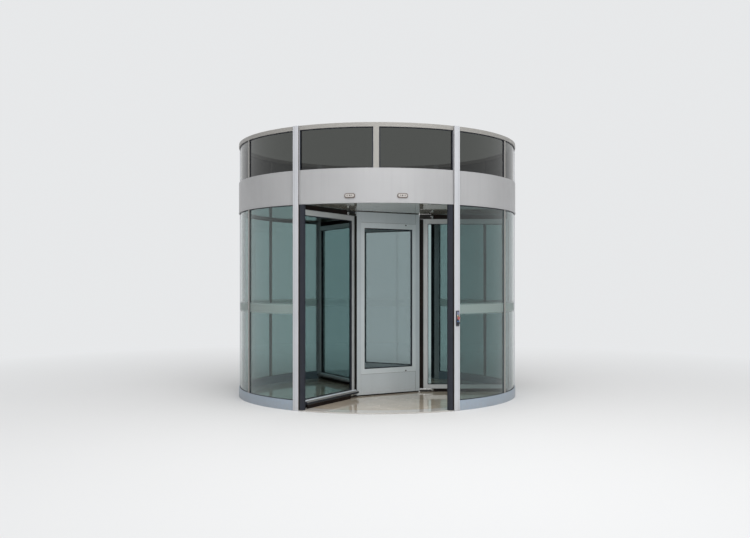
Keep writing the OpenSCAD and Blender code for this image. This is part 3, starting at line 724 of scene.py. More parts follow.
class DOOR_OT_studio(bpy.types.Operator):
    """Pale floor that fades into the background, soft lights and the camera"""

    bl_idname = "revolving_door.studio"
    bl_label = "Studio"

    def execute(self, context):
        studio = context.scene.studio_settings
        self.floor(context.scene, studio)
        self.sky(context.scene, studio)
        # Name, place, target, width and height, and power
        softboxes = (
            ("key_light", (2.2, -11.0, 2.8), (0, 0, 1.3), (7.0, 4.0), studio.key_power),
            ("top_light", (0.5, -5.5, 7.5), (0, -0.8, 0), (6.0, 6.0), studio.top_power),
            ("left_light", (-9.5, -2.0, 3.5), (0, 0, 1.6), (5.0, 5.0), studio.side_power),
            ("right_light", (9.5, -2.0, 3.5), (0, 0, 1.6), (5.0, 5.0), studio.side_power),
            ("rear_light", (2.0, 11.0, 5.5), (0, 0, 1.6), (8.0, 5.0), studio.rear_power),
        )
        for softbox in softboxes:
            self.softbox(context.scene, *softbox)
        self.camera(context.scene, studio)
        return {"FINISHED"}

    def floor(self, scene, studio):
        """A disc of rings without caps, whose colour fades to the backdrop's between two radii."""
        fade_from, fade_to = 2.3, 9.0
        radius = np.array([60, 25, 14, 9, 6, 3, 0.0001])
        cos, sin = circle(96)
        ring = np.stack([cos, sin, 0 * cos], -1)
        points, faces = skin(radius[:, None, None] * ring[None])
        mesh = made_mesh("studio_floor", points, faces[:1])
        finish = Finish("studio_floor")
        far = finish.maths("POWER", finish.ranged(finish.radius(), fade_from, fade_to), 0.7)
        tone = finish.ranged(finish.noise(0.4, 3), 0.3, 0.7)
        finish.set(
            Base_Color=finish.blended(tone, shade(studio.floor_colour, 0.985), studio.floor_colour),
            Roughness=0.7,
            Specular_IOR_Level=0.25,
        )
        glow = finish.node("ShaderNodeEmission")
        glow.inputs["Color"].default_value = (*studio.backdrop_colour, 1.0)
        far = finish.maths("MULTIPLY", far, finish.seen())
        surface = finish.output.inputs["Surface"]
        finish.mixed(far, finish.shader.outputs["BSDF"], glow.outputs["Emission"], surface)
        mesh.materials.append(finish.material)
        floor = bpy.data.objects.new("studio_floor", mesh)
        floor.location.z = -0.0005
        scene.collection.objects.link(floor)

    def sky(self, scene, studio):
        """Even light from all round, which the camera, gloss and glass see as the backdrop."""
        world = bpy.data.worlds.new("studio_sky")
        world.use_nodes = True
        nodes = Nodes(world.node_tree)
        plain = nodes.tree.nodes["Background"]
        plain.inputs["Color"].default_value = (1.0, 1.0, 1.0, 1.0)
        plain.inputs["Strength"].default_value = studio.world_strength
        backdrop = nodes.node("ShaderNodeBackground")
        backdrop.inputs["Color"].default_value = (*studio.backdrop_colour, 1.0)
        surface = nodes.tree.nodes["World Output"].inputs["Surface"]
        nodes.mixed(nodes.seen(), plain.outputs[0], backdrop.outputs[0], surface)
        scene.world = world

    def softbox(self, scene, name, place, target, size, power):
        """A soft rectangular lamp that faces a target and isn't seen itself."""
        light = bpy.data.lights.new(name, "AREA")
        light.shape = "RECTANGLE"
        light.size, light.size_y = size
        light.energy = power
        lamp = bpy.data.objects.new(name, light)
        lamp.location = place
        look = np.subtract(target, place)
        tilt = math.atan2(look[2], math.hypot(look[0], look[1]))
        lamp.rotation_euler = (math.pi / 2 + tilt, 0.0, math.atan2(look[1], look[0]) - math.pi / 2)
        lamp.visible_camera = False
        lamp.visible_transmission = False
        lamp.visible_glossy = False
        scene.collection.objects.link(lamp)

    def camera(self, scene, studio):
        """Level camera in front of the door, with its frame shifted as the picture's is."""
        lens = bpy.data.cameras.new("camera")
        lens.lens = studio.camera_lens
        lens.sensor_width = 36.0
        lens.shift_x = SHIFT_RIGHT / PICTURE_WIDTH
        lens.shift_y = SHIFT_UP / PICTURE_WIDTH
        camera = bpy.data.objects.new("camera", lens)
        camera.location = (studio.camera_side, -studio.camera_distance, studio.camera_height)
        camera.rotation_euler = (math.pi / 2, 0.0, 0.0)
        scene.collection.objects.link(camera)
        scene.camera = camera
        scene.view_settings.view_transform = "Standard"


class DOOR_OT_drum_finishes(bpy.types.Operator):
    """Powder coat on the posts, sills and fascia, a darker copy of it on the rings and mullions as painted
    shade, enamel on the ceiling, rubber strips
    """

    bl_idname = "revolving_door.drum_finishes"
    bl_label = "Drum finishes"

    def execute(self, context):
        finishes = context.scene.door_finishes
        paint(
            coat("post_coat", finishes.post_colour, dust=0.3),
            "front_posts", "rear_posts", "wall_posts",
        )
        paint(
            # A darker copy of the posts' coat: painted shade on the rings and mullions
            coat("ring_coat", finishes.ring_shade_colour),
            "side_mullions", "centre_mullions", "top_ring_front", "top_ring_rear", "top_ring_sides",
        )
        paint(coat("sill_coat", finishes.sill_colour, dust=0.4), "sill_left", "sill_right")
        paint(
            coat("fascia_coat", finishes.fascia_colour),
            "fascia_front", "fascia_rear", "fascia_left", "fascia_right",
        )
        enamel = finish_named("ceiling_enamel", gloss_enamel, finishes.ceiling_colour, roughness=0.09)
        paint(enamel, "ceiling")
        paint(coat("cover_paint", finishes.cover_colour), "canopy_cover")
        paint(rubber(), "safety_strips")
        return {"FINISHED"}


class DOOR_OT_stone_floor(bpy.types.Operator):
    """Polished stone on the floor disc and both thresholds"""

    bl_idname = "revolving_door.stone_floor"
    bl_label = "Stone floor"

    def execute(self, context):
        colour, threshold_r = context.scene.door_finishes.stone_colour, 1.64
        paint(finish_named("floor_stone", polished_stone, colour, threshold_r, FLOOR_Z), "floor_disc")
        return {"FINISHED"}


class DOOR_OT_glazing(bpy.types.Operator):
    """Glass of the drum with its frosted band, of the clerestory, the core and the wings"""

    bl_idname = "revolving_door.glazing"
    bl_label = "Glazing"

    def execute(self, context):
        finishes = context.scene.door_finishes
        band = (finishes.band_bottom, finishes.band_top)
        paint(
            finish_named("drum_glass", clear_glass, finishes.drum_glass_colour, band=band),
            "curved_glass_left", "curved_glass_right",
        )
        # The clerestory glass's near-black tint paints the shade of the dark space behind it
        paint(
            finish_named("upper_glass", clear_glass, finishes.upper_glass_colour),
            "clerestory_glass_front", "clerestory_glass_rear", "clerestory_glass_sides",
        )
        paint(
            finish_named("wing_glass", clear_glass, finishes.wing_glass_colour),
            "wing_a_glass", "wing_b_glass", "wing_c_glass",
        )
        paint(finish_named("showcase_glass", clear_glass, finishes.case_glass_colour), "showcase_glass")
        return {"FINISHED"}


class DOOR_OT_core_and_wing_finishes(bpy.types.Operator):
    """Powder coat on the core and the wing frames, bright steel on the arms and bearing"""

    bl_idname = "revolving_door.core_and_wing_finishes"
    bl_label = "Core and wing finishes"

    def execute(self, context):
        finishes = context.scene.door_finishes
        paint(
            coat("core_coat", finishes.core_colour, dust=0.25),
            "core_base", "core_posts", "kick_panels", "header_panels", "core_head",
        )
        paint(coat("door_coat", finishes.door_colour), "showcase_doors")
        paint(
            coat("wing_coat", finishes.wing_colour, dust=0.25),
            "wing_a_frame", "wing_b_frame", "wing_c_frame",
        )
        paint(steel(), "floor_bearing")
        # Below bright_from the lower arms' undersides are black as painted shade; above bright_to the upper
        # arms are black
        bright_from, bright_to = 0.037, 1.5
        arms = finish_named("arm_metal", arm_metal, finishes.steel_colour, bright_from, bright_to)
        paint(arms, "pivot_arms")
        paint(coat("showcase_paint", finishes.showcase_colour), "showcase_plates")
        return {"FINISHED"}


def side_bays():
    """Start and end directions of the panes in both side walls, between posts and mullions."""
    mullion, quarter_turn = degrees_across(SIDE_MULLION_HALF), 90
    edges = (
        (degrees_across(WALL_POST_HALF), MULLION_ANGLE - mullion),
        (MULLION_ANGLE + mullion, quarter_turn - POST_ANGLE - degrees_across(POST_HALF)),
    )
    return [
        (side + end * near, side + end * far)
        for side in (LEFT, RIGHT) for end in (-1, 1) for near, far in edges
    ]


def entrance_bays():
    """Start and end directions of the two panes over each entrance."""
    near = degrees_across(CENTRE_MULLION_HALF)
    far = POST_ANGLE - degrees_across(POST_HALF)
    return [(middle + end * near, middle + end * far) for middle in (FRONT, REAR) for end in (-1, 1)]


class DOOR_OT_drum_seals(bpy.types.Operator):
    """Black seals along all four edges of every curved pane, inside and outside"""

    bl_idname = "revolving_door.drum_seals"
    bl_label = "Drum seals"

    def execute(self, context):
        width = context.scene.trim_sizes.seal_w
        lower = Piece("lower_glass_seals", "drum")
        foot, edge = width * 0.6, width * 0.3
        for bay in side_bays():
            self.ring_of_seals(lower, bay, SILL_TOP, FASCIA_BOTTOM, foot, width, edge)
        lower.build("black_rubber")
        upper = Piece("clerestory_seals", "drum")
        foot = width * 0.5
        for bays, edge in ((side_bays(), width * 0.7), (entrance_bays(), width * 1.3)):
            for bay in bays:
                self.ring_of_seals(upper, bay, FASCIA_TOP, RING_BOTTOM, foot, width, edge)
        upper.build("black_rubber")
        return {"FINISHED"}

    def ring_of_seals(self, piece, bay, bottom, top, foot, head, edge):
        """Seals on both faces of one pane: a strip along its foot, its head and both edges.

        A strip along the foot or head slopes back to the glass over a share of its height. The
        strips along the edges are let into those two, and keep a hundredth of a degree off the
        ends of the bay."""
        near_glass, off_glass, slope, let_in, slack = 0.0062, 0.0135, 0.45, 0.6, 0.01
        start, end = min(bay), max(bay)
        for face in (-1, 1):
            held, free = GLASS_R + face * near_glass, GLASS_R + face * off_glass
            for edge_z, into, tall in ((bottom, 1, foot), (top, -1, head)):
                root, tip = edge_z + into * SEAT, edge_z + into * tall
                shoulder = tip + slope * (root - tip)
                profile = np.array([[held, root], [free, root], [free, shoulder], [held, tip]])
                if face == -into:
                    profile = profile[::-1]
                piece.add(arc_bar(profile, start, end), rubber())
            wide = math.degrees(edge / GLASS_R)
            inner_r, outer_r = sorted((held, free))
            profile = rectangle(inner_r, bottom + foot * let_in, outer_r, top - head * let_in)
            for low, high in ((start + slack, start + wide), (end - wide, end - slack)):
                piece.add(arc_bar(profile, low, high), rubber())


class DOOR_OT_showcase_trim(bpy.types.Operator):
    """Seals round the showcase glass, locks in the doors' right-hand corners, and black joint fillers that
    paint the shade in the joints
    """

    bl_idname = "revolving_door.showcase_trim"
    bl_label = "Showcase trim"

    def execute(self, context):
        sizes = context.scene.trim_sizes
        self.seals(sizes.case_seal_w)
        self.locks(sizes.lock_r)
        self.joints()
        return {"FINISHED"}

    def seals(self, width):
        """A bevelled strip round each pane on both of its faces, carried round the opening."""
        outer_face, inner_face, proud = CORE_FACE_R - 0.016, CORE_FACE_R - 0.024, 0.0075
        low, high = (corner.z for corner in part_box("showcase_glass"))
        low, high = low + GLASS_GROOVE, high - GLASS_GROOVE
        middle, half_h = UP * (low + high) / 2, (high - low) / 2
        profile = np.array([
            [SEAT, SEAT], [width, SEAT], [width * 0.8, 0.0055], [width * 0.3, proud], [SEAT, proud],
        ])
        seals = Piece("showcase_seals", "rotor")
        for angle in CORE_FACES:
            out, side = directions(angle)
            for radius, right in ((outer_face, side), (inner_face, -side)):
                ring = framed_bar(profile, middle + out * radius, right, UP, DOOR_OPENING_HALF, half_h)
                seals.add(ring, rubber())
        seals.build("black_rubber")

    def locks(self, r):
        """Round locks with a rim and a plug, turned about an axis out of the door, and a key slot."""
        across, over_foot, under_head = 0.263, 0.0145, 0.019
        slot_from, slot_to = 0.0005, 0.0018
        rim = np.array([
            [r, -0.004], [r, 0.0006], [r * 0.95, 0.0012], [r * 0.86, 0.0012], [r * 0.84, 0.0002],
        ])
        plug = np.array([[r * 0.82, -0.003], [r * 0.82, 0.0010], [r * 0.7, 0.0015]])
        slot = rectangle(-0.0008, -0.0042, 0.0008, 0.0042)
        locks = Piece("showcase_locks", "rotor")
        for angle in CORE_FACES:
            out, side = directions(angle)
            for height in (DOORS_LOW + over_foot, DOORS_HIGH - under_head):
                place = out * (CORE_FACE_R + HAIR) + side * across + UP * height
                locks.add(turned(rim, place, out), dark_metal())
                locks.add(turned(plug, place, out), dark_metal())
                start, end = place + out * slot_from, place + out * slot_to
                locks.add(straight_bar(slot, start, end, side, UP), steel())
        locks.build("black_plastic")

    def joints(self):
        """Black fillers in the joints over and under the doors, and down the sides of every panel, as
        painted shade in the gaps.
        """
        face_r, deep, tall, margin = CORE_FACE_R - 0.0032, 0.004, 0.0028, 0.001
        joints = Piece("panel_joint_shade", "rotor")
        edge = rectangle(0.0, -0.0004, 0.0009, 0.0009)
        for angle in CORE_FACES:
            out, side = directions(angle)
            left, right = (out * face_r + side * end * PANEL_HALF for end in (-1, 1))
            for z0, z1 in ((DOORS_LOW - tall, DOORS_LOW - HAIR), (DOORS_HIGH + HAIR, DOORS_HIGH + tall)):
                joints.add(straight_bar(rectangle(-deep, z0, 0.0, z1), left, right, out, UP), rubber())
            for end in (-1, 1):
                line = side * end * (PANEL_HALF - 0.0007) + out * (face_r + 0.0003)
                low, high = line + UP * (CORE_BOTTOM + margin), line + UP * (CORE_TOP - margin)
                joints.add(straight_bar(edge, low, high, out, side * end), rubber())
        joints.build("black_rubber")


class DOOR_OT_wing_trim(bpy.types.Operator):
    """Seals round the wings' glass on both faces, and the joint lines of their frames"""

    bl_idname = "revolving_door.wing_trim"
    bl_label = "Wing trim"

    def execute(self, context):
        width = context.scene.trim_sizes.wing_seal_w
        glass_low, glass_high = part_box("wing_a_glass")
        low, high = glass_low.z + GLASS_GROOVE, glass_high.z - GLASS_GROOVE
        inner, outer = glass_low.x + GLASS_GROOVE, glass_high.x - GLASS_GROOVE
        for body, angle in WINGS.items():
            out, side = directions(angle)
            self.seals(body, out, width, inner, outer, low, high)
            self.joints(body, out, side, low, high)
        return {"FINISHED"}

    def seals(self, body, out, width, inner, outer, low, high):
        """A stepped strip round the pane on both of its faces, carried round the opening."""
        glass_face, proud = 0.0043, 0.0174
        profile = np.array([
            [SEAT, 0.0], [width, 0.0], [width, 0.003], [width * 0.55, 0.0075],
            [width * 0.22, 0.010], [width * 0.16, proud], [SEAT, proud],
        ])
        centre = out * (inner + outer) / 2 + UP * ((low + high) / 2)
        half_w, half_h = (outer - inner) / 2, (high - low) / 2
        seals = Piece(body + "_seals", body)
        for right in (out, -out):
            face = centre + np.cross(right, UP) * glass_face
            seals.add(framed_bar(profile, face, right, UP, half_w, half_h), rubber())
        seals.build("black_rubber")

    def joints(self, body, out, side, low, high):
        """Fine upright lines where the rails meet the stiles, on both faces of the frame."""
        inset, margin = 0.023, 0.001
        line = rectangle(-0.0006, -0.0002, 0.0006, 0.00015)
        joints = Piece(body + "_joints", body)
        for turn in (1, -1):
            normal = side * turn
            face = normal * (WING_HALF_T + 0.0001)
            for x in (WING_IN + inset, WING_OUT - inset):
                foot = out * x + face
                for z0, z1 in ((WING_BOTTOM + margin, low), (high, WING_TOP - margin)):
                    joint = straight_bar(line, foot + UP * z0, foot + UP * z1, out * turn, normal)
                    joints.add(joint, rubber())
        joints.build("black_rubber")


class DOOR_OT_bumpers(bpy.types.Operator):
    """Bumpers along the wings' feet: a sloped metal cover over a ribbed rubber nose, and end caps. The
    cover's darker coat is painted shade, and its pale lip a painted highlight
    """

    bl_idname = "revolving_door.bumpers"
    bl_label = "Bumpers"

    def execute(self, context):
        # The covers' coat is darker than the wings' as painted shade, with real dust near the floor
        shaded_cover_coat = coat("bumper_coat", context.scene.door_finishes.bumper_shade_colour, dust=0.25)
        # The lip is coloured pale as a painted highlight along the cover's top edge
        painted_highlight_coat = coat("bright_strip", PAINTED_HIGHLIGHT)
        box_low, box_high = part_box("wing_a_bumper")
        back, foot = box_low.y, box_low.z
        reach, height, nose_share = box_high.y - back, box_high.z - foot, 0.545
        cap, nose, cover, lip = self.outlines(reach, height * nose_share, height)
        caps = self.caps(back, reach, box_low.x)
        inner_end, outer_start = caps[0][0][-1] + HAIR, caps[1][0][0] - HAIR
        for body, angle in WINGS.items():
            out, side = directions(angle)
            base = side * back + UP * foot
            piece = Piece(body + "_bumper_cover", body)
            for radii, shares in caps:
                up = np.tile(UP, (len(radii), 1))
                piece.add(carried(cap, base + radii[:, None] * out, side * shares[:, None], up), rubber())
            start, end = base + out * inner_end, base + out * outer_start
            piece.add(straight_bar(nose, start, end, side, UP), rubber())
            piece.add(straight_bar(cover, start, end, side, UP), shaded_cover_coat)
            piece.add(straight_bar(lip, start, end, side, UP), painted_highlight_coat)
            piece.build("black_rubber", replaces=[body + "_bumper"])
        return {"FINISHED"}

    def caps(self, back, reach, root):
        """Radii at which the end caps reach shares of their full depth, inner cap first.

        The inner cap follows a circle about the wing's pin that clears the core, and the outer
        one rounds off as a quarter circle. Each has a straight length next to the bumper."""
        share = np.array([0.03, 0.3, 0.55, 0.75, 0.9, 0.97, 1.0])
        rounding, inner_length, outer_length = 0.012, 0.012, 0.008
        swing = math.hypot(PIVOT_R - root, back)
        inner = PIVOT_R - np.sqrt(swing**2 - (back + share * reach) ** 2)
        inner[0] = root + 0.0004
        outer = BUMPER_OUT - rounding * (1 - np.sqrt(np.maximum(0, 1 - share**2)))
        return (
            (np.append(inner, inner[-1] + inner_length), np.append(share, 1.0)),
            (np.append(outer[-1] - outer_length, outer[::-1]), np.append(1.0, share[::-1])),
        )

    def outlines(self, reach, nose_h, height):
        """Outlines of end cap, nose, cover and lip, from the wing's face outwards.

        The nose's face has five ribs, waves of |sin|, and draws back at its top and bottom by
        the sixth power of the distance from its middle. The cover slopes down over it and
        hooks round its upper edge, and the lip closes the joint with the wing's frame."""
        bevel, rib_depth, ribs, draw_back = 0.004, 0.0011, 5, 0.003
        cap = np.array([
            [HAIR, 0.0], [reach - bevel, 0.0], [reach, bevel],
            [reach, nose_h - bevel], [reach - bevel, nose_h], [HAIR, height],
        ])
        rise = np.linspace(0.0, 1.0, 25)
        waves = rib_depth * np.abs(np.sin(rise * ribs * math.pi))
        face_x = reach - 0.0004 - waves - draw_back * (2 * rise - 1) ** 6
        face = np.stack([face_x, 0.0006 + rise * (nose_h - 0.0026)], -1)
        nose = np.concatenate([[[0.0006, 0.0006]], face, [[0.0006, height - 0.007]]])
        cover = np.array([
            [0.0004, height - 0.0065], [reach - 0.0055, nose_h - 0.0015],
            [reach - 0.0048, nose_h - 0.0042], [reach - 0.0030, nose_h - 0.0042],
            [reach - 0.0030, nose_h - 0.0002], [reach - 0.0046, nose_h + 0.0012],
            [0.0004, height - 0.0004],
        ])
        lip = np.array([
            [0.0004, height - 0.0002], [0.0180, height - 0.0074], [0.0180, height - 0.0040],
            [0.0172, height - 0.0028], [0.0004, height + 0.0020],
        ])
        return cap, nose, cover, lip


class DOOR_OT_post_trim(bpy.types.Operator):
    """Dark brown strips down the posts' entrance sides and black fillers in the recesses beside them, both
    painted shade, and joint lines in their faces
    """

    bl_idname = "revolving_door.post_trim"
    bl_label = "Post trim"

    def execute(self, context):
        reveal_shade_colour = context.scene.door_finishes.reveal_shade_colour
        painted_shade = finish_named("bronze_strip", powder_coat, reveal_shade_colour, roughness=0.4, metal=0.4)
        shadow = finish_named("recess_black", black_rubber, RECESS_PAINTED_SHADE, roughness=0.8)
        groove = finish_named("joint_grey", powder_coat, JOINT_GREY, roughness=0.5, metal=0.2)
        strip = rectangle(0.0, 0.0, 0.0100, 0.0016)
        recess = rectangle(0.0, 0.0, 0.0130, 0.0012)
        seam = rectangle(-0.0007, 0.0, 0.0007, 0.0003)
        strip_r, recess_r, seam_r = 1.8578, 1.8562, POST_OUT_R + 0.0001
        strip_in, recess_in, seam_in = POST_HALF + HAIR, POST_HALF + 0.0006, -0.0135
        foot, seam_foot, head, top = 0.013, 0.004, FASCIA_BOTTOM - 0.001, POST_TOP - 0.003
        strips = Piece("post_strips", "drum")
        for middle in (FRONT, REAR):
            for end in (-1, 1):
                out, side = directions(middle + end * POST_ANGLE)
                inner = -end * side
                line = out * strip_r + inner * strip_in
                # A dark brown strip on the post's side face: painted shade
                strips.add(straight_bar(strip, line + UP * foot, line + UP * top, out, inner), painted_shade)
                line = out * recess_r + inner * recess_in
                # A black filler in the recess between post and strip: painted shade
                strips.add(straight_bar(recess, line + UP * foot, line + UP * head, inner, out), shadow)
                line = out * seam_r + inner * seam_in
                strips.add(straight_bar(seam, line + UP * seam_foot, line + UP * top, -inner, out), groove)
        strips.build("frame_aluminium")
        return {"FINISHED"}


def tufts(roots, tips, side, thickness):
    """Three-sided tufts that taper from root to tip: one grid of two rings for each tuft."""
    taper = 0.62
    along = tips - roots
    along /= np.linalg.norm(along, axis=1)[:, None]
    first = side - along * (along @ side)[:, None]
    first /= np.linalg.norm(first, axis=1)[:, None]
    second = np.cross(along, first)
    turn = np.radians([0.0, 120.0, 240.0])
    ring = np.cos(turn)[None, :, None] * first[:, None] + np.sin(turn)[None, :, None] * second[:, None]
    low = roots[:, None] + ring * thickness[:, None, None]
    high = tips[:, None] + ring * (thickness * taper)[:, None, None]
    faces = [[0, 1, 4, 3], [1, 2, 5, 4], [2, 0, 3, 5], [2, 1, 0], [3, 4, 5]]
    start = np.arange(len(roots))[:, None] * 6
    return np.stack([low, high], 1).reshape(-1, 3), [start + np.array(face) for face in faces]


def brush_bank(piece, start, end, away, side, depth, finish, seed):
    """Rows of leaning tufts along an edge over a thin inner web, in a black holder.

    Each row's tufts stand a third of their pitch from the next row's. How far each one is
    moved, leans, splays and falls short of the depth is drawn from a normal distribution, with
    the bank's own seed. The lean also follows a sine of wave_turn radians per metre, and the
    outer rows fan out from the middle one."""
    rows, row_pitch, fan = 3, 0.0039, 0.0003
    uneven_place, uneven_lean, uneven_splay, uneven_reach = 0.0004, 0.0016, 0.0005, 0.014
    wave_lean, wave_turn, most_lean = 0.0012, 9, 0.004
    web_half_t, web_inset, holder_half_t, holder_h, bevel = 0.0035, 0.001, 0.0078, 0.008, 0.0012
    sizes = bpy.context.scene.trim_sizes
    random = np.random.default_rng(seed)
    length = np.linalg.norm(end - start)
    along = (end - start) / length
    count = max(2, int(length / sizes.tuft_pitch))
    margin = sizes.tuft_r * 1.5
    for row in range(rows):
        from_middle = row - (rows - 1) / 2
        place = np.linspace(margin, length - margin, count) + (row % 2) * sizes.tuft_pitch / 3
        place = np.clip(place + random.normal(0, uneven_place, count), margin, length - margin)
        lean = random.normal(0, uneven_lean, count) + wave_lean * np.sin(place * wave_turn + row)
        splay = random.normal(0, uneven_splay, count) + from_middle * fan
        reach = depth * (1 - np.abs(random.normal(0, uneven_reach, count)))
        roots = start + place[:, None] * along + from_middle * row_pitch * side
        tips = roots + reach[:, None] * away
        tips += np.clip(lean, -most_lean, most_lean)[:, None] * along + splay[:, None] * side
        thickness = sizes.tuft_r * random.uniform(0.85, 1.05, count)
        piece.add(tufts(roots, tips, side, thickness), finish)
    web = rectangle(0.0, -web_half_t, depth * 0.985, web_half_t)
    web_start, web_end = start + along * web_inset, end - along * web_inset
    piece.add(straight_bar(web, web_start, web_end, away, side), finish)
    holder = rectangle(HAIR, -holder_half_t, min(holder_h, depth * 0.4), holder_half_t, bevel)
    piece.add(straight_bar(holder, start, end, away, side), dark_metal())


class DOOR_OT_brushes(bpy.types.Operator):
    """Bristle brushes round each wing, under its bumper, and under and over the core"""

    bl_idname = "revolving_door.brushes"
    bl_label = "Brushes"

    def execute(self, context):
        bristle = finish_named("bristles", bristle_black, context.scene.door_finishes.bristle_colour)
        for number, (body, angle) in enumerate(WINGS.items()):
            self.wing_brush(body, angle, bristle, seed=10 * number)
        self.core_brush(bristle)
        return {"FINISHED"}

    def wing_brush(self, body, angle, bristle, seed):
        """Banks down both edges of a wing, along its foot and head, and under its bumper.

        Except along the outer edge, the bristles reach a few millimetres further than the plain
        brushes that they replace. The banks of foot and head start beside the pivot block."""
        out, side = directions(angle)
        low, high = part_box("wing_a_brushes")
        bumper_low, bumper_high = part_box("wing_a_bumper")
        past_block, longer, inwards = PIVOT_R + 0.023, 0.0042, 0.0030

        def at(radius, height):
            """The point of the wing's middle plane at a radius and a height."""
            return out * radius + UP * height

        banks = (
            (at(WING_IN, WING_BOTTOM), at(WING_IN, WING_TOP), -out, WING_IN - low.x + inwards),
            (at(WING_OUT, WING_BOTTOM), at(WING_OUT, WING_TOP), out, high.x - WING_OUT),
            (at(past_block, WING_BOTTOM), at(WING_OUT, WING_BOTTOM), -UP, WING_BOTTOM - low.z + longer),
            (at(past_block, WING_TOP), at(WING_OUT, WING_TOP), UP, high.z - WING_TOP + longer),
        )
        piece = Piece(body + "_bristles", body)
        for bank, (start, end, away, depth) in enumerate(banks):
            brush_bank(piece, start, end, away, side, depth, bristle, seed=seed + bank)
        front, foot = side * (bumper_high.y - 0.0135), bumper_low.z - 0.0004
        start_r, end_r = PIVOT_R + 0.030, BUMPER_OUT - 0.032
        start, end = at(start_r, foot) + front, at(end_r, foot) + front
        depth = bumper_low.z - low.z + longer
        brush_bank(piece, start, end, -UP, side, depth, bristle, seed=seed + len(banks))
        piece.build("black_brush", replaces=[body + "_brushes"])

    def core_brush(self, bristle):
        """Six straight banks under the core's outline and six over it, for three long faces and
        three flat corners, and one more under each lower arm and over each upper one.

        A bank's half length follows from where its side of the triangle, drawn in from the
        core's faces, meets the next."""
        low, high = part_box("core_brush")
        under, over = high.z - low.z + 0.0034, CEILING_Z - CORE_TOP - 0.0014
        under_arm, over_block = ARM_BOTTOM - FLOOR_Z - 0.0006, CEILING_Z - BLOCK_TOP - 0.0016
        under_seed, over_seed, block_seed, arm_seed = 70, 80, 90, 95
        inset = 0.014
        corner_r, face_r = CORE_CORNER - inset, CORE_FACE_R - inset
        half_corner = (face_r - corner_r * 0.5) / SIN_60
        half_face = corner_r * SIN_60 - half_corner * 0.5
        lower, upper = Piece("core_bristles", "rotor"), Piece("core_head_bristles", "rotor")
        sides = [(angle, face_r, half_face) for angle in CORE_FACES]
        sides += [(angle, corner_r, half_corner) for angle in WINGS.values()]
        for number, (angle, radius, half) in enumerate(sides):
            out, side = directions(angle)
            start, end = out * radius - side * half, out * radius + side * half
            foot, head = UP * high.z, UP * CORE_TOP
            seed = under_seed + number
            brush_bank(lower, start + foot, end + foot, -UP, out, under, bristle, seed)
            seed = over_seed + number
            brush_bank(upper, start + head, end + head, UP, out, over, bristle, seed)
        for number, angle in enumerate(WINGS.values()):
            out, side = directions(angle)
            root, tip = out * (CORE_CORNER + 0.0040), out * (PIVOT_R + 0.022)
            foot, head = UP * ARM_BOTTOM, UP * BLOCK_TOP
            seed = block_seed + number
            brush_bank(upper, root + head, tip + head, UP, side, over_block, bristle, seed)
            seed = arm_seed + number
            brush_bank(lower, root + foot, tip + foot, -UP, side, under_arm, bristle, seed)
        lower.build("black_brush", replaces=["core_brush"])
        upper.build("black_brush")


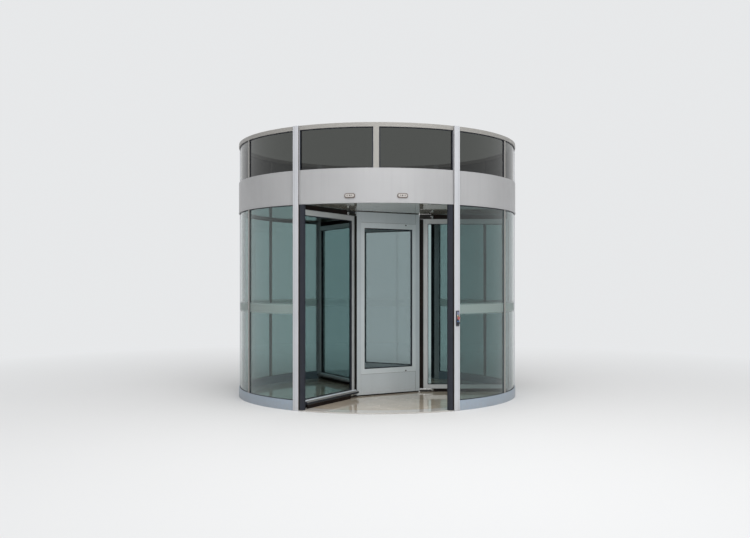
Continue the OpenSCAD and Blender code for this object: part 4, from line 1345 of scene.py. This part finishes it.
class DOOR_OT_arm_fittings(bpy.types.Operator):
    """Bolts on the lower arms, pivot blocks and bright pins on the upper ones, and corner strips"""

    bl_idname = "revolving_door.arm_fittings"
    bl_label = "Arm fittings"

    def execute(self, context):
        metal = Piece("arm_bolts", "rotor")
        blocks = Piece("pivot_blocks", "rotor")
        corners = Piece("core_corner_strips", "rotor")
        for angle in WINGS.values():
            out, side = directions(angle)
            self.bolts(metal, out, context.scene.trim_sizes.bolt_r)
            self.sleeves(metal, out)
            self.block(blocks, out, side)
            self.corner_strip(corners, out, side)
        metal.build("bright_steel")
        blocks.build("black_plastic")
        corners.build("black_rubber")
        return {"FINISHED"}

    def bolts(self, piece, out, r):
        """Two bolt heads with a round recess on a lower arm, turned about the vertical."""
        head = np.array([[r, -0.002], [r, 0.0022], [r * 0.86, 0.0034], [r * 0.5, 0.0034], [r * 0.46, 0.001]])
        for radius in (CORE_CORNER + 0.022, CORE_CORNER + 0.040):
            piece.add(turned(head, out * radius + UP * (ARM_BOTTOM + ARM_T), UP, sides=24), steel())

    def sleeves(self, piece, out):
        """The sleeve and head of the pin in an upper arm, and the collar of the lower one."""
        under, collar_top = ARM_TOP - ARM_T, ARM_BOTTOM + ARM_T
        sleeve = np.array([
            [0.0125, under - 0.0005], [0.0148, under + 0.0005], [0.0148, ARM_TOP - 0.0010],
            [0.0160, ARM_TOP], [0.0160, ARM_TOP + 0.0090], [0.0150, ARM_TOP + 0.0105],
            [0.0060, ARM_TOP + 0.0105],
        ])
        collar = np.array([
            [0.0100, ARM_BOTTOM + 0.0006], [0.0146, ARM_BOTTOM + 0.0008], [0.0154, ARM_BOTTOM + 0.0018],
            [0.0154, collar_top - 0.0018], [0.0146, collar_top - 0.0008], [0.0100, collar_top - 0.0006],
        ])
        for profile in (sleeve, collar):
            piece.add(turned(profile, out * PIVOT_R, UP, sides=40), steel())

    def block(self, piece, out, side):
        """A dark block and keeper over an upper arm, and a rubber filler between arm and wing."""
        block_r, keeper_r, filler_r = PIVOT_R - 0.025, PIVOT_R - 0.020, PIVOT_R - 0.0135
        steps = [(1, 1, ARM_TOP + 0.0110), (1, 1, BLOCK_TOP - 0.0010), (0.98, 0.94, BLOCK_TOP + 0.0005)]
        outline = rounded_outline(0.080, 0.030, 0.006)
        piece.add(stacked(outline, steps, out * block_r, out, side), dark_metal())
        root = out * (CORE_CORNER + 0.0035)
        keeper = rectangle(ARM_TOP - 0.0005, -0.0035, BLOCK_TOP, 0.0035)
        piece.add(straight_bar(keeper, root, out * keeper_r, UP, -side), dark_metal())
        filler = rectangle(WING_TOP + 0.0026, -0.0060, ARM_TOP - ARM_T + 0.0004, 0.0060)
        piece.add(straight_bar(filler, root, out * filler_r, UP, -side), rubber())

    def corner_strip(self, piece, out, side):
        """A dark bevelled strip down one flat corner of the core, between its arms."""
        half, proud, bevel = 0.0280, 0.0022, 0.0006
        low, high = CORE_BOTTOM + 0.022, ARM_TOP - ARM_T - 0.003
        strip = rectangle(HAIR, -half, proud, half, bevel)
        corner = out * CORE_CORNER
        piece.add(straight_bar(strip, corner + UP * low, corner + UP * high, out, side), dark_metal())


class DOOR_OT_sensors(bpy.types.Operator):
    """Motion sensors over both entrances: a pale shell with dark rims and a lens"""

    bl_idname = "revolving_door.sensors"
    bl_label = "Motion sensors"

    def execute(self, context):
        from_middle = 0.3
        low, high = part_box("motion_sensors")
        height = (low.z + high.z) / 2 - 0.003
        turn = degrees_across(from_middle, DRUM_OUT_R)
        piece = Piece("motion_sensor_shells", "drum")
        for middle in (FRONT, REAR):
            for end in (-1, 1):
                out, side = directions(middle + end * turn)
                centre = out * (DRUM_OUT_R + 0.0004) + UP * height
                self.sensor(piece, centre, out, side, end, context.scene.door_finishes.sensor_colour)
        piece.build("sensor_shell", replaces=["motion_sensors"])
        return {"FINISHED"}

    def sensor(self, piece, centre, out, side, end, colour):
        """Rounded outlines stacked outwards for base, cover and two tabs, and a turned lens."""
        shell = finish_named("sensor_shell", moulded_plastic, colour, roughness=0.28)
        rim = finish_named("sensor_rim", moulded_plastic, SENSOR_RIM, roughness=0.35)
        lens = finish_named("sensor_lens", gloss_enamel, SENSOR_LENS, roughness=0.06)
        base = [(1, 1, -0.0012), (1, 1, 0.010), (0.985, 0.965, 0.0125)]
        piece.add(stacked(rounded_outline(0.124, 0.056, 0.025), base, centre, side, UP), rim)
        cover = [
            (1, 1, 0.008), (1, 1, 0.0175), (0.985, 0.96, 0.0205), (0.95, 0.88, 0.0225), (0.88, 0.72, 0.0232),
        ]
        outline = rounded_outline(0.104, 0.037, 0.016)
        piece.add(stacked(outline, cover, centre + UP * 0.001, side, UP), shell)
        tab = [(1, 1, 0.015), (1, 1, 0.0239), (0.8, 0.8, 0.0244)]
        for across in (-0.026, 0.026):
            place = centre + side * across + UP * 0.003
            piece.add(stacked(rounded_outline(0.013, 0.011, 0.004), tab, place, side, UP), rim)
        eye = centre - side * end * 0.004 + out * 0.0225 + UP * 0.002
        ring = np.array([[0.0082, 0.0], [0.0082, 0.0014], [0.0068, 0.0020], [0.0056, 0.0014]])
        piece.add(turned(ring, eye, out), rim)
        dome = np.array([[0.0056, 0.0005], [0.0050, 0.0014], [0.0034, 0.0021], [0.0012, 0.0024]])
        piece.add(turned(dome, eye, out), lens)


class DOOR_OT_switches(bpy.types.Operator):
    """Switch plates on the right-hand posts: window, indicator, mushroom button and rotary switch"""

    bl_idname = "revolving_door.switches"
    bl_label = "Switch plates"

    def execute(self, context):
        plates = Piece("switch_plate_bodies", "drum")
        buttons = Piece("emergency_button_heads", "drum")
        for middle in (FRONT, REAR):
            out, side = directions(middle + POST_ANGLE)
            self.plate(plates, out, side)
            self.button(buttons, out, context.scene.door_finishes.button_colour)
        plates.build("black_plastic", replaces=["switch_plates"])
        buttons.build("red_plastic", replaces=["emergency_buttons"])
        return {"FINISHED"}

    def plate(self, piece, out, side):
        """Rounded outlines stacked outwards for the flat parts, and turned profiles for the rest."""
        black = finish_named("switch_black", moulded_plastic, SWITCH_BLACK, roughness=0.4)
        grey = finish_named("switch_grey", moulded_plastic, SWITCH_GREY, roughness=0.3)
        yellow = finish_named("switch_yellow", moulded_plastic, SWITCH_YELLOW, roughness=0.4)
        blue = finish_named("switch_blue", moulded_plastic, SWITCH_BLUE, roughness=0.4)
        bottom, top = (corner.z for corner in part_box("switch_plates"))
        window_z, lamp_z, label_z = top - 0.033, bottom + 0.122, bottom + 0.058
        knob_z, screw_z, under_face = bottom + 0.039, bottom + 0.010, 0.012
        post = out * POST_OUT_R

        def at(height, across=0.0):
            """The point of the post's face at a height, and so far across from its middle."""
            return post + UP * height + side * across

        def flat(outline, steps, place, finish):
            """Adds a flat part: an outline stacked outwards from a place on the post."""
            piece.add(stacked(outline, steps, place, side, UP), finish)

        body = [(1, 1, 0.0002), (1, 1, 0.0105), (0.985, 0.996, 0.0127), (0.94, 0.985, 0.0138)]
        flat(rounded_outline(0.040, top - bottom, 0.006), body, at((bottom + top) / 2), black)
        window = [(1, 1, under_face), (1, 1, 0.0152), (0.95, 0.97, 0.0160)]
        flat(rounded_outline(0.032, 0.042, 0.003), window, at(window_z, -0.001), grey)
        lamp = np.array([[0.0062, under_face], [0.0062, 0.0165], [0.0045, 0.0180], [0.0015, 0.0185]])
        piece.add(turned(lamp, at(lamp_z, -0.004), out, sides=24), yellow)
        label = [(1, 1, under_face), (1, 1, 0.0150), (0.94, 0.9, 0.0156)]
        flat(rounded_outline(0.022, 0.010, 0.002), label, at(label_z), blue)
        knob = np.array([
            [0.0155, under_face], [0.0155, 0.0150], [0.0120, 0.0165], [0.0120, 0.0210], [0.0152, 0.0220],
            [0.0155, 0.0320], [0.0146, 0.0336], [0.0110, 0.0342],
        ])
        piece.add(turned(knob, at(knob_z), out, sides=40), black)
        grip = [(1, 1, 0.0325), (0.95, 0.98, 0.0375), (0.8, 0.93, 0.0385)]
        flat(rounded_outline(0.0055, 0.027, 0.0026), grip, at(knob_z), black)
        screw = np.array([[0.0028, under_face], [0.0028, 0.0142], [0.0020, 0.0147]])
        for across in (-0.010, 0.010):
            piece.add(turned(screw, at(screw_z, across), out, sides=16), grey)

    def button(self, piece, out, colour):
        """A neck and a mushroom head, turned about an axis out of the plate."""
        over_foot = 0.096
        grey = finish_named("switch_grey", moulded_plastic, SWITCH_GREY, roughness=0.3)
        red = finish_named("button_red", moulded_plastic, colour, roughness=0.3)
        place = out * POST_OUT_R + UP * (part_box("switch_plates")[0].z + over_foot)
        neck = np.array([[0.0155, 0.012], [0.0155, 0.0160], [0.0125, 0.0170], [0.0125, 0.0275]])
        piece.add(turned(neck, place, out, sides=40), grey)
        head = np.array([
            [0.0135, 0.0262], [0.0175, 0.0266], [0.0190, 0.0285], [0.0190, 0.0305], [0.0176, 0.0334],
            [0.0140, 0.0350], [0.0080, 0.0358], [0.0020, 0.0360],
        ])
        piece.add(turned(head, place, out, sides=48), red)


class DOOR_OT_ceiling_trim(bpy.types.Operator):
    """Slim brown detector windows let into the ceiling near both entrances"""

    bl_idname = "revolving_door.ceiling_trim"
    bl_label = "Ceiling trim"

    def execute(self, context):
        width, length, radius, let_in = 0.082, 0.026, 1.110, 0.0030
        window = finish_named("detector_window", gloss_enamel, DETECTOR_WINDOW, roughness=0.1)
        outline = rounded_outline(width, length, length / 2, count=48)
        steps = [(1, 1, 0.0), (1, 1, 0.0032), (0.97, 0.9, 0.0034)]
        piece = Piece("ceiling_detectors", "drum")
        for middle in (FRONT, REAR):
            out, side = directions(middle)
            centre = out * radius + UP * (CEILING_Z + let_in)
            piece.add(stacked(outline, steps, centre, side, out), window)
        piece.build("black_plastic")
        return {"FINISHED"}


OPERATORS = (
    DOOR_OT_studio,
    DOOR_OT_drum_finishes,
    DOOR_OT_stone_floor,
    DOOR_OT_glazing,
    DOOR_OT_core_and_wing_finishes,
    DOOR_OT_drum_seals,
    DOOR_OT_showcase_trim,
    DOOR_OT_wing_trim,
    DOOR_OT_bumpers,
    DOOR_OT_post_trim,
    DOOR_OT_brushes,
    DOOR_OT_arm_fittings,
    DOOR_OT_sensors,
    DOOR_OT_switches,
    DOOR_OT_ceiling_trim,
)


class DOOR_PT_sidebar(bpy.types.Panel):
    """The door's operators, in the order in which they run"""

    bl_label = "Revolving door"
    bl_space_type = "VIEW_3D"
    bl_region_type = "UI"
    bl_category = "Revolving door"

    def draw(self, context):
        for operator in OPERATORS:
            self.layout.operator(operator.bl_idname)


CLASSES = (DoorFinishes, TrimSizes, StudioSettings, *OPERATORS, DOOR_PT_sidebar)


def register():
    """Registers the classes and gives every scene the three groups of settings."""
    for each in CLASSES:
        bpy.utils.register_class(each)
    bpy.types.Scene.door_finishes = bpy.props.PointerProperty(type=DoorFinishes)
    bpy.types.Scene.trim_sizes = bpy.props.PointerProperty(type=TrimSizes)
    bpy.types.Scene.studio_settings = bpy.props.PointerProperty(type=StudioSettings)


def unregister():
    """Takes back what register did, in the opposite order."""
    del bpy.types.Scene.studio_settings
    del bpy.types.Scene.trim_sizes
    del bpy.types.Scene.door_finishes
    for each in reversed(CLASSES):
        bpy.utils.unregister_class(each)


def main():
    """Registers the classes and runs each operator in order."""
    register()
    for operator in OPERATORS:
        group, name = operator.bl_idname.split(".")
        getattr(getattr(bpy.ops, group), name)()
    bpy.context.view_layer.update()


if __name__ == "__main__":
    main()
